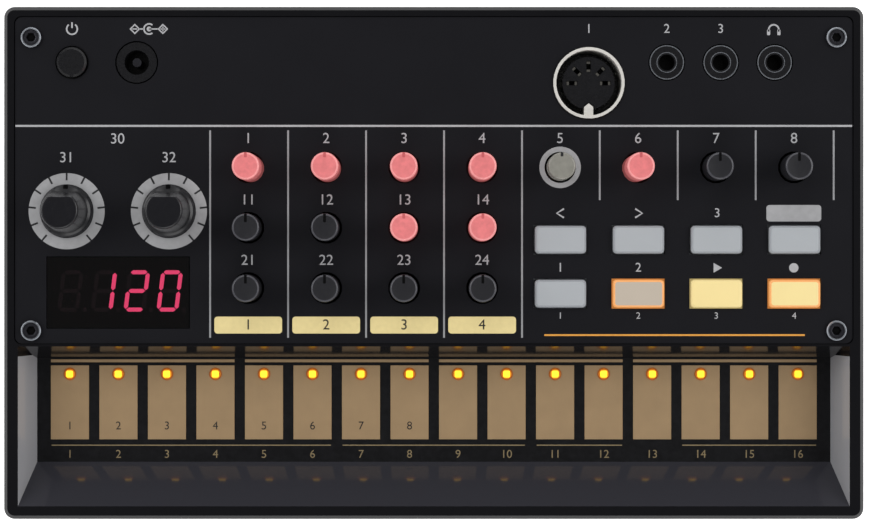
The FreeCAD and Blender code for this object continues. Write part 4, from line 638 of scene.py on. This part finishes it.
@dataclass
class PanelPrint:
    """Lines, rings, plates, figures and signs printed on the panel."""

    ink_thickness: float = 0.03
    overprint: float = 0.02
    figure_lift: float = 0.01
    line_width: float = 0.4
    sign_line: float = 0.35
    fine_line: float = 0.3
    rule_y: float = 30.75
    rule_width: float = 0.45
    rule_margin: float = 0.1
    column_first: float = -41.65
    column_pitch: float = 17.5
    columns: int = 8
    voices: int = 4
    label_rows: tuple[float, ...] = (27.9, 14.1, 0.56)
    divider_first: float = -50.2
    divider_top: float = 29.75
    divider_bottom: float = -16.8
    divider_short: float = 14.1
    short_shift: float = 0.05
    orange_y: float = -16.2
    orange_ends: Point = (24.8, 83.25)
    plate_y: float = -13.95
    plate_size: Point = (15.2, 3.8)
    grey_plate_size: Point = (12.3, 3.7)
    plate_corner: float = 0.7
    label_height: float = 2.4
    sign_height: float = 2.1
    small_label_height: float = 1.5
    scale_ring: Point = (8.55, 6.05)
    scale_places: tuple[Point, ...] = ((-82.4, 11.6), (-59.45, 11.6))
    scale_label_y: float = 23.6
    heading_at: Point = (-71.0, 27.8)
    tick_count: int = 11
    tick_step: float = 28.0
    tick_length: float = 1.6
    speed_ring: Point = (4.65, 3.5)
    top_row_y: float = 52.5
    power_x: float = -81.2
    inlet_x: float = -63.9
    socket_xs: tuple[float, ...] = (34.8, 52.3, 64.4)
    phones_at: Point = (76.3, 52.3)
    arrow_xs: Point = (28.4, 46.0)
    key_xs: tuple[float, ...] = (28.4, 45.9, 63.6, 80.8)
    upper_row_y: float = 11.15
    lower_row_y: float = -1.1
    second_label_y: float = -11.9
    level: float = field(default_factory=lambda: top_of("top_panel"))

    def build(self) -> None:
        """Print everything that is white, silver, orange and cream."""
        self.rules()
        self.rings()
        self.plates()
        self.figures()
        self.signs()

    @property
    def high(self) -> float:
        """Give the height of the ink's top."""
        return self.level + self.ink_thickness

    def thin(self, pen: Sculptor, points: list[Point], width: float, finish: int = 0) -> None:
        """Print one line on the panel."""
        pen.stroke(points, width, self.level, self.high, finish)

    def rules(self) -> None:
        """Print the long rule, the dividers between columns and the orange rule."""
        pen = Sculptor("printed_rules")
        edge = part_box("top_panel")[1].x / MM - self.rule_margin
        self.thin(pen, [(-edge, self.rule_y), (edge, self.rule_y)], self.rule_width)
        for index in range(self.columns + 1):
            long = index <= self.voices
            x = self.divider_first + index * self.column_pitch - (0.0 if long else self.short_shift)
            bottom = self.divider_bottom if long else self.divider_short
            self.thin(pen, [(x, bottom), (x, self.divider_top)], self.line_width, 2)
        left, right = self.orange_ends
        self.thin(pen, [(left, self.orange_y), (right, self.orange_y)], self.line_width, 1)
        pen.close([WHITE_INK, ORANGE_INK, RULE_INK], "case", "panel_print")

    def rings(self) -> None:
        """Print the scale rings of the large knobs, with their ticks, and the speed knob's ring."""
        pen = Sculptor("printed_scale_rings")
        low, high = self.level, self.high
        for at in self.scale_places:
            pen.band(at, self.scale_ring, low, high, 0, 96)
            for index in range(self.tick_count):
                angle = math.radians(90 + (index - (self.tick_count - 1) / 2) * self.tick_step)
                along = Vector((math.cos(angle), math.sin(angle)))
                first = Vector(at) + along * (self.scale_ring[0] - self.tick_length)
                last = Vector(at) + along * self.scale_ring[0]
                pen.stroke([tuple(first), tuple(last)], self.line_width, high, high + self.overprint, 1)
        pen.band(middle_of("speed_knob"), self.speed_ring, low, high, 2, 72)
        pen.close([GREY_INK, BLACK_INK, GREY_INK], "case", "panel_print")

    def plates(self) -> None:
        """Print the cream plates under the voice columns and the grey plate by the keys."""
        pen = Sculptor("printed_plates")
        for index in range(self.voices):
            at = (self.column_first + index * self.column_pitch, self.plate_y)
            pen.slab(rounded(*self.plate_size, self.plate_corner, at), self.level, self.high, 0)
            pen.text(str(index + 1), at, self.label_height, self.high + self.figure_lift, 2)
        at = (self.key_xs[-1], self.upper_row_y)
        pen.slab(rounded(*self.grey_plate_size, self.plate_corner, at), self.level, self.high, 1)
        pen.close([CREAM_INK, GREY_INK, BLACK_INK], "case", "panel_print")

    def figures(self) -> None:
        """Print plain numbers where the real panel has its words."""
        pen = Sculptor("printed_figures")
        for column in range(self.columns):
            x = self.column_first + column * self.column_pitch
            for row, y in enumerate(self.label_rows[: 3 if column < self.voices else 1]):
                pen.text(str(column + 1 + 10 * row), (x, y), self.label_height, self.high)
        for number, at in enumerate(self.scale_places, start=31):
            pen.text(str(number), (at[0], self.scale_label_y), self.label_height, self.high)
        pen.text("30", self.heading_at, self.label_height, self.high)
        for number, x in enumerate(self.socket_xs, start=1):
            pen.text(str(number), (x, self.top_row_y), self.sign_height, self.high)
        for number, key in enumerate(("memory_key", "step_key", "play_key", "record_key"), start=1):
            at = (middle_of(key)[0], self.second_label_y)
            pen.text(str(number), at, self.small_label_height, self.high)
        rows = (self.lower_row_y, self.lower_row_y, self.upper_row_y)
        for number, (x, y) in enumerate(zip(self.key_xs, rows), start=1):
            pen.text(str(number), (x, y), self.sign_height, self.high)
        pen.close([WHITE_INK], "case", "panel_print")

    def signs(self) -> None:
        """Print the standard signs: power, polarity, headphones, arrows, play and record."""
        pen = Sculptor("printed_signs")
        x, y = self.power_x, self.top_row_y
        self.thin(pen, arc((x, y), 1.2, range(55, -240, -12)), self.sign_line)
        self.thin(pen, [(x, y + 0.2), (x, y + 1.5)], self.sign_line)
        self.polarity(pen)
        x, y = self.phones_at
        radius = 1.15
        self.thin(pen, arc((x, y), radius, range(-20, 201, 11)), self.sign_line)
        for side in (-radius, radius):
            pen.slab(rounded(0.7, 1.3, 0.2, (x + side, y - 0.55)), self.level, self.high)
        y = self.upper_row_y
        for x, way in zip(self.arrow_xs, (-0.8, 0.8)):
            self.thin(pen, [(x - way, y + 1.0), (x + way, y), (x - way, y - 1.0)], self.line_width)
        x, y = self.key_xs[2], self.lower_row_y
        pen.slab([(x - 0.8, y - 1.1), (x + 1.1, y), (x - 0.8, y + 1.1)], self.level, self.high)
        pen.slab(circle(1.05, 32, (self.key_xs[3], y)), self.level, self.high)
        pen.close([WHITE_INK], "case", "panel_print")

    def polarity(self, pen: Sculptor) -> None:
        """Print the sign of a centre-positive inlet: minus, ring, plus."""
        x, y = self.inlet_x, self.top_row_y
        for shift, marks in ((-3.2, ((0.55, 0.0),)), (3.1, ((0.55, 0.0), (0.0, 0.55)))):
            at = (x + shift, y)
            pen.band(at, (1.2, 0.8), self.level, self.high, steps=4)
            for across, along in marks:
                self.thin(pen, [(at[0] - across, y - along), (at[0] + across, y + along)], 0.28)
        for left, right in ((-2.0, -1.2), (0.0, 1.9)):
            self.thin(pen, [(x + left, y), (x + right, y)], self.fine_line)
        self.thin(pen, arc((x, y), 1.15, range(50, 311, 13)), self.sign_line)
        pen.slab(circle(0.55, 24, (x, y)), self.level, self.high)


@dataclass
class PanelScrews:
    """Four socket screws with a raised rim round a sunk face; the rim's bevel and top are bright zinc steel,
    a painted highlight on the black heads.
    """

    head_radius: float = 2.25
    rim_width: float = 0.42
    sink: float = 0.35
    hex_radius: float = 1.1
    hex_depth: float = 0.6
    hex_lip: float = 0.05
    bevel: float = 0.2
    slope: float = 0.15
    shank_radius: float = 1.2
    steps: int = 48

    def build(self) -> None:
        """Turn the four heads and cut their six-sided sockets."""
        low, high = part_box("panel_screws")
        top, bottom = high.z / MM, low.z / MM
        pen = Sculptor("socket_screws")
        panel = top_of("top_panel")
        r, inner, floor = self.head_radius, self.head_radius - self.rim_width, top - self.sink
        mouth = self.hex_radius + self.hex_lip
        for x in (low.x / MM + r, high.x / MM - r):
            for y in (low.y / MM + r, high.y / MM - r):
                profile = [(self.shank_radius, bottom), (self.shank_radius, panel), (r, panel)]
                profile += [(r, top - self.bevel), (r - self.bevel, top), (inner, top)]
                profile += [(inner - self.slope, floor), (mouth, floor)]
                # Belts 3 and 4, the rim's bevel and top, get bright zinc as a painted highlight; the rest is
                # black steel
                pen.turned(profile, (x, y), [0, 0, 0, 2, 2, 0, 0], self.steps)
                hexagon = [self.on_hexagon(i * 360 / self.steps, (x, y)) for i in range(self.steps)]
                # The socket's walls and floor are painted shade
                rings = [pen.loop(circle(mouth, self.steps, (x, y)), floor)]
                rings += [pen.loop(hexagon, floor - depth) for depth in (0.02, self.hex_depth)]
                pen.skirt(rings[0], rings[1], 0)
                pen.skirt(rings[1], rings[2], 1)
                pen.face(rings[2], 1)
                foot = pen.loop(circle(self.shank_radius, self.steps, (x, y)), bottom)
                pen.face(foot[::-1], 0)
        pen.close([BLACK_STEEL, BORE_PAINTED_SHADE, ZINC_STEEL], "case", "black_screw", ("panel_screws",), 30.0)

    def on_hexagon(self, degrees: float, at: Point) -> Point:
        """Give the point of the socket's hexagon at an angle."""
        within = math.radians((degrees % 60) - 30)
        reach = self.hex_radius * math.cos(math.radians(30)) / math.cos(within)
        angle = math.radians(degrees)
        return (at[0] + reach * math.cos(angle), at[1] + reach * math.sin(angle))


@dataclass
class SmallKnob:
    """A short knob with a rounded rim and a pointer slot from its edge."""

    name: str
    face: Moulding
    edge: Moulding
    groove: Moulding
    slot: str
    radius: float = 3.05
    edge_round: float = 0.45
    slot_width: float = 0.6
    slot_length: float = 2.0
    slot_corner: float = 0.15
    slot_end: float = 0.1
    face_sink: float = 0.03
    face_inset: float = 0.15

    def build(self) -> None:
        """Turn the cap and lay its pointer."""
        at, top, bottom = middle_of(self.name), top_of(self.name), bottom_of(self.name)
        pen = Sculptor(f"{self.name}_cap")
        r, e = self.radius, self.edge_round
        profile = [(0.0, bottom), (r, bottom), (r, top - e)]
        profile += [(r - e + e * math.cos(a), top - e + e * math.sin(a)) for a in (0.4, 0.8, 1.2)]
        sunk = top - self.face_sink
        profile += [(r - e, top), (r - e - self.face_inset, sunk), (0.0, sunk)]
        pen.turned(profile, at, [0, 0, 1, 1, 1, 1, 0, 0], 64)
        middle = (at[0], at[1] + r - self.slot_length / 2)
        groove = rounded(self.slot_width, self.slot_length - self.slot_end, self.slot_corner, middle)
        pen.slab(groove, top - 0.05, top, 2)
        pen.close([self.face, self.edge, self.groove], self.name, self.slot, (self.name,))


@dataclass
class LargeKnob:
    """A tapered knob on a wide skirt, with one sloped flat towards its pointer."""

    name: str
    skirt_radius: float = 5.9
    skirt_height: float = 1.6
    neck_radius: float = 5.0
    top_radius: float = 4.15
    edge_round: float = 0.5
    flat_reach: float = 2.9
    flat_run: float = 1.5
    notch_width: float = 1.0
    notch_depth: float = 0.9
    panel_gap: float = 0.4
    stem_radius: float = 3.0
    belts: int = 14
    steps: int = 160

    def build(self) -> None:
        """Turn the knob, press its flat and lay its notch."""
        at, top, bottom = middle_of(self.name), top_of(self.name), bottom_of(self.name)
        base = top_of("top_panel") + self.panel_gap
        shoulder = base + self.skirt_height
        pen = Sculptor(f"{self.name}_cap")
        e = self.edge_round
        profile = [(0.0, bottom), (self.stem_radius, bottom), (self.stem_radius, base)]
        profile += [(self.skirt_radius, base), (self.skirt_radius, shoulder - 0.9)]
        profile += [(self.skirt_radius - 0.35, shoulder - 0.25), (self.neck_radius, shoulder)]
        for index in range(1, self.belts):
            part = index / self.belts
            radius = self.neck_radius + (self.top_radius - self.neck_radius) * part
            profile.append((radius, shoulder + (top - e - shoulder) * part))
        inner = self.top_radius - e
        profile += [(inner + e * math.cos(a), top - e + e * math.sin(a)) for a in (0.0, 0.4, 0.8, 1.2)]
        profile += [(inner, top), (self.top_radius - 1.0, top), (1.6, top), (0.0, top)]
        pen.turned(profile, at, [0] * (len(profile) - 1), self.steps)
        for point in pen.mesh.verts:
            if point.co.z > shoulder - 0.01:
                drop = (top - point.co.z) / (top - shoulder)
                limit = at[1] + self.flat_reach + self.flat_run * drop
                point.co.y = min(point.co.y, limit)
        middle = (at[0], at[1] + self.skirt_radius - self.notch_depth / 2)
        notch = rounded(self.notch_width, self.notch_depth, 0.15, middle)
        # The notch is a near-black slab: painted shade
        pen.slab(notch, shoulder - 0.5, shoulder - 0.05, 1)
        pen.close([LARGE_KNOB_ABS, BORE_PAINTED_SHADE], self.name, "large_knob_black", (self.name,), 25.0)


@dataclass
class Key:
    """A rubber key: a rounded cap with a falling rim round a flat face."""

    name: str
    face: Moulding
    rim: Moulding
    slot: str
    width: float = 11.5
    depth: float = 6.25
    corner: float = 0.85
    rim_width: float = 0.5
    plunger: float = 2.6
    flange_drop: float = 1.8
    flange_thickness: float = 1.0
    flange_reach: float = 1.4

    def build(self) -> None:
        """Build the cap from stacked outlines and keep its flange and plunger below."""
        at, top, bottom = middle_of(self.name), top_of(self.name), bottom_of(self.name)
        pen = Sculptor(f"{self.name}_cap")
        flange = top_of("top_panel") - self.flange_drop
        w, d, c = self.width, self.depth, self.corner
        plunger = rounded(self.plunger, self.plunger, 0.3, at)
        plate = rounded(w + self.flange_reach, d + self.flange_reach, c, at)
        face = rounded(w - 2 * self.rim_width, d - 2 * self.rim_width, c * 0.7, at)
        rings = [(plunger, bottom), (plunger, flange - self.flange_thickness)]
        rings += [(plate, flange - self.flange_thickness), (plate, flange)]
        rings += [(rounded(w, d, c, at), flange), (rounded(w, d, c, at), top - 0.4)]
        rings += [(rounded(w - cut, d - cut, c, at), top - drop) for cut, drop in ((0.2, 0.18), (0.6, 0.03))]
        rings.append((face, top))
        pen.stack(rings, [1, 1, 1, 1, 1, 1, 1, 1, 0])
        pen.close([self.face, self.rim], self.name, self.slot, (self.name,))


@dataclass
class Digits:
    """Four seven-bar digits under the smoked pane."""

    places: tuple[float, ...] = (-81.75, -74.2, -66.8, -59.4)
    shown: tuple[str, ...] = ("", "bc", "abged", "abcdef")
    middle_y: float = -6.3
    height: float = 9.3
    width: float = 4.9
    bar: float = 0.9
    gap: float = 0.14
    slant_degrees: float = 7.0
    thickness: float = 0.08
    dot_radius: float = 0.5
    dot_gap: float = 0.75
    dot_rise: float = 0.4

    def build(self) -> None:
        """Lay the bars on the digit module."""
        pen = Sculptor("digit_bars")
        low = top_of("display_module")
        high = low + self.thickness
        lean = math.tan(math.radians(self.slant_degrees))
        for x, lit in zip(self.places, self.shown):
            for name, corners in self.bars().items():
                slanted = [(x + cx + cy * lean, self.middle_y + cy) for cx, cy in corners]
                # Unlit bars get the dark finish with its painted glow
                pen.slab(slanted, low, high, 0 if name in lit else 1)
            across, along = self.width / 2 + self.dot_gap, self.dot_rise - self.height / 2
            pen.slab(circle(self.dot_radius, 20, (x + across, self.middle_y + along)), low, high, 1)
        pen.close([DIGIT_LIT, DIGIT_DARK_PAINTED_GLOW], "case", "module_black")

    def bars(self) -> dict[str, list[Point]]:
        """Give the corners of the seven bars round the digit's own middle."""
        across, up = (self.width - self.bar) / 2, (self.height - self.bar) / 2
        ends = {
            "a": ((-across, up), (across, up)),
            "g": ((-across, 0.0), (across, 0.0)),
            "d": ((-across, -up), (across, -up)),
            "f": ((-across, 0.0), (-across, up)),
            "b": ((across, 0.0), (across, up)),
            "e": ((-across, -up), (-across, 0.0)),
            "c": ((across, -up), (across, 0.0)),
        }
        return {name: self.pointed_bar(Vector(first), Vector(last)) for name, (first, last) in ends.items()}

    def pointed_bar(self, first: Vector, last: Vector) -> list[Point]:
        """Give the six corners of a bar whose ends are points.

        Args:
            first: Where the bar starts.
            last: Where it ends.

        Returns:
            The corners in order.
        """
        along = (last - first).normalized()
        across = Vector((-along.y, along.x)) * self.bar / 2
        first, last = first + along * self.gap, last - along * self.gap
        low, high = first + along * self.bar / 2, last - along * self.bar / 2
        return [tuple(p) for p in (first, low - across, high - across, last, high + across, low + across)]


@dataclass
class Sockets:
    """Power button, power inlet, round socket and the three small jacks."""

    jack_names: tuple[str, ...] = ("sync_in_jack", "sync_out_jack", "phones_jack")
    rings: tuple[Point, ...] = ((3.85, 3.85 - 0.22), (2.3, 2.3 - 0.16))
    ring_height: float = 0.03

    def build(self) -> None:
        """Dress the sockets and lay two thin bright metal rings on each small jack as painted highlights on
        its lip.
        """
        dress(SOCKET_ABS, "dc_jack", "din_insert", "power_button", *self.jack_names)
        dress(SATIN_NICKEL, "din_shell")
        pen = Sculptor("socket_highlight_rings")
        for name in self.jack_names:
            top, at = top_of(name), middle_of(name)
            # Painted highlights: two flat bright rings on each jack
            for radii in self.rings:
                pen.band(at, radii, top, top + self.ring_height)
        pen.close([ZINC_STEEL], "case", "socket_black")


@dataclass
class TouchStrip:
    """Gold pads, bars, lamps and figures on the strip board."""

    first: float = -83.25
    pitch: float = 11.1
    count: int = 16
    lamp_y: float = -25.4
    bar_y: float = -22.4
    bar_width: float = 0.65
    figure_y: float = -37.3
    numbered: int = 8
    group_y: float = -41.7
    label_y: float = -43.8
    groups: tuple[tuple[int, int], ...] = ((1, 6), (7, 10), (11, 12), (14, 16))
    figure_height: float = 1.9
    group_line: float = 0.25
    group_reach: float = 4.2
    bar_group: int = 4
    bar_reach: float = 4.35
    bar_height: float = 0.05
    ink_height: float = 0.03
    pad_ink_height: float = 0.02
    window: float = 1.45
    lens: float = 1.2
    heart: float = 1.55
    heart_corner: float = 0.4

    def build(self) -> None:
        """Dress the pads and lay the lamps, bars and figures over them."""
        dress(GOLD_PAD, "touch_pads")
        self.lamps()
        self.print_strip()

    def x_of(self, number: int) -> float:
        """Give the place across of one pad, counted from 1."""
        return self.first + (number - 1) * self.pitch

    def span(self, first: int, last: int, reach: float, y: float) -> list[Point]:
        """Give the ends of a line that runs past the middles of two pads."""
        return [(self.x_of(first) - reach, y), (self.x_of(last) + reach, y)]

    def lamps(self) -> None:
        """Build a lamp with a square glowing heart in a round window on each pad."""
        pen = Sculptor("strip_lamp_domes")
        low, high = bottom_of("strip_lamps"), top_of("strip_lamps")
        for number in range(1, self.count + 1):
            at = (self.x_of(number), self.lamp_y)
            foot, edge = low + 0.06, low + 0.08
            pen.turned([(self.window, low), (self.window, foot), (self.lens, edge)], at, [2, 2], 40)
            pen.turned([(self.lens, edge), (1.0, high - 0.15), (0.0, high - 0.14)], at, [1, 1], 32)
            pen.slab(rounded(self.heart, self.heart, self.heart_corner, at), high - 0.16, high, 0)
        pen.close([LAMP_CORE, LAMP_RING, LAMP_EDGE], "case", "amber_lamp", ("strip_lamps",), 60.0)

    def print_strip(self) -> None:
        """Print the bars behind the pads, and plain figures on and before them."""
        board, pad = top_of("touch_strip_board"), top_of("touch_pads")
        pen = Sculptor("strip_bars")
        for first in range(1, self.count + 1, self.bar_group):
            line = self.span(first, first + self.bar_group - 1, self.bar_reach, self.bar_y)
            pen.stroke(line, self.bar_width, board, board + self.bar_height)
        pen.close([GOLD_PAD], "case", "gold_pad")
        pen = Sculptor("strip_figures")
        ink, size = board + self.ink_height, self.figure_height
        for number in range(1, self.count + 1):
            x = self.x_of(number)
            pen.text(str(number), (x, self.label_y), size, ink, 0)
            if number <= self.numbered:
                pen.text(str(number), (x, self.figure_y), size, pad + self.pad_ink_height, 1)
        for first, last in self.groups:
            pen.stroke(self.span(first, last, self.group_reach, self.group_y), self.group_line, board, ink)
        pen.close([GOLD_INK, BLACK_INK], "case", "board_black")


@dataclass
class Studio:
    """White table, soft lamps, pale surroundings and the camera straight above."""

    camera_height: float = 0.6237
    camera_x: float = 0.00016
    camera_y: float = -0.00002
    lens_mm: float = 108.9
    sensor_mm: float = 36.0
    lamp_size: float = 0.8
    lamp_reach: float = 0.95
    lamp_height: float = 0.85
    sky_heights: Point = (0.25, 0.97)
    sky_levels: Point = (0.8, 0.1)
    table_reach: float = 3.0
    table_glow: float = 0.75

    def build(self) -> None:
        """Set up the view, the surroundings, the table and the lamps."""
        scene = bpy.context.scene
        scene.view_settings.view_transform = "Standard"
        self.camera(scene)
        self.surroundings(scene)
        self.table()
        for side in Side:
            self.lamp(side)

    def camera(self, scene: bpy.types.Scene) -> None:
        """Hang the camera over the panel."""
        data = bpy.data.cameras.new("overhead_camera")
        data.lens, data.sensor_width = self.lens_mm, self.sensor_mm
        data.clip_start, data.clip_end = 0.01, 20.0
        camera = show("overhead_camera", data)
        camera.location = (self.camera_x, self.camera_y, self.camera_height)
        scene.camera = camera

    def surroundings(self, scene: bpy.types.Scene) -> None:
        """Make the room white round the horizon and darker overhead."""
        world = bpy.data.worlds.new("studio_room")
        world.use_nodes = True
        tree = world.node_tree
        tree.nodes.clear()
        direction = add_node(tree, "TexCoord").outputs["Generated"]
        height = add_node(tree, "SeparateXYZ", {"Vector": direction}).outputs["Z"]
        level = remap(tree, height, self.sky_heights, self.sky_levels)
        colour = add_node(tree, "CombineColor", {n: level for n in (0, 1, 2)})
        back = add_node(tree, "Background", {"Color": colour.outputs["Color"], "Strength": 1.0})
        add_node(tree, "OutputWorld", {"Surface": back.outputs["Background"]})
        scene.world = world

    def table(self) -> None:
        """Lay a white table whose lit part shows as plain white and keeps the object's shadow."""
        material, tree = new_tree("white_laminate_table")
        path = add_node(tree, "LightPath").outputs
        seen = calculate(tree, "MAXIMUM", path["Is Camera Ray"], path["Is Glossy Ray"])
        seen = calculate(tree, "MAXIMUM", seen, path["Is Transmission Ray"])
        matt = add_node(tree, "BsdfDiffuse", {"Color": linear("#EDEDED")})
        white = {"Color": linear("#FFFFFF"), "Strength": self.table_glow}
        glow = add_node(tree, "Emission", white)
        both = add_node(tree, "AddShader", {0: matt.outputs[0], 1: glow.outputs[0]})
        choice = {0: seen, 1: matt.outputs[0], 2: both.outputs[0]}
        mixed = add_node(tree, "MixShader", choice)
        add_node(tree, "OutputMaterial", {"Surface": mixed.outputs[0]})
        mesh = bmesh.new()
        reach = self.table_reach
        corners = [(-reach, -reach), (reach, -reach), (reach, reach), (-reach, reach)]
        mesh.faces.new([mesh.verts.new((x, y, 0.0)) for x, y in corners])
        data = bpy.data.meshes.new("table_top")
        mesh.to_mesh(data)
        mesh.free()
        data.materials.append(material)
        show("table_top", data)

    def lamp(self, side: Side) -> None:
        """Hang one soft square lamp to a side."""
        across, along, power = side.value
        data = bpy.data.lights.new(f"soft_lamp_{side.name.lower()}", "AREA")
        data.energy, data.size = power, self.lamp_size
        way = Vector((across, along)).normalized()
        lamp = show(data.name, data)
        lamp.location = (way.x * self.lamp_reach, way.y * self.lamp_reach, self.lamp_height)
        lamp.rotation_euler = (-lamp.location).to_track_quat("-Z", "Y").to_euler()


def small_knobs() -> list[SmallKnob]:
    """List the sixteen small knobs with their colours."""
    pink = {"voice_1_knob_1", "voice_2_knob_1", "voice_3_knob_1", "voice_3_knob_2"}
    pink |= {"voice_4_knob_1", "voice_4_knob_2", "tempo_knob"}
    names = [f"voice_{voice}_knob_{row}" for voice in range(1, 5) for row in range(1, 4)]
    knobs = []
    for name in [*names, "speed_knob", "tempo_knob", "level_knob", "volume_knob"]:
        if name in pink:
            # Pink knobs: painted glow on the face, painted highlight on the rim, painted shade in the slot
            knob = SmallKnob(name, PINK_ACRYLIC_PAINTED_GLOW, PINK_EDGE_PAINTED_HIGHLIGHT, PINK_GROOVE_PAINTED_SHADE, "knob_pink", slot_length=1.2)
        elif name == "speed_knob":
            knob = SmallKnob(name, CLEAR_ACRYLIC, CLEAR_ACRYLIC, BLACK_INK, "knob_clear", slot_length=1.0)
        else:
            # Black knobs: painted highlight on the rim, painted shade in the pointer slot
            knob = SmallKnob(name, KNOB_ABS, KNOB_RIM_PAINTED_HIGHLIGHT, BORE_PAINTED_SHADE, "knob_black")
        knobs.append(knob)
    return knobs


def keys() -> list[Key]:
    """List the eight keys with their colours."""
    grey = ("back_key", "forward_key", "mute_key", "function_key", "memory_key")
    made = [Key(name, KEY_SILICONE, KEY_RIM_PAINTED_SHADE, "key_grey") for name in grey]
    made.append(Key("step_key", BEIGE_KEY, ORANGE_RIM, "key_step"))
    made.append(Key("play_key", WARM_KEY, WARM_KEY, "key_lit"))
    made.append(Key("record_key", WARM_KEY, ORANGE_RIM, "key_lit"))
    return made


def main() -> None:
    """Build and dress every sub-assembly in order."""
    logging.basicConfig(level=logging.INFO, format="%(message)s")
    parts = [Studio(), Shells(), PanelPrint(), PanelScrews(), Digits(), Sockets(), TouchStrip()]
    parts += [LargeKnob("time_knob"), LargeKnob("depth_knob"), *small_knobs(), *keys()]
    for part in parts:
        part.build()
        LOG.info("built %s", getattr(part, "name", type(part).__name__))


if __name__ == "__main__":
    main()
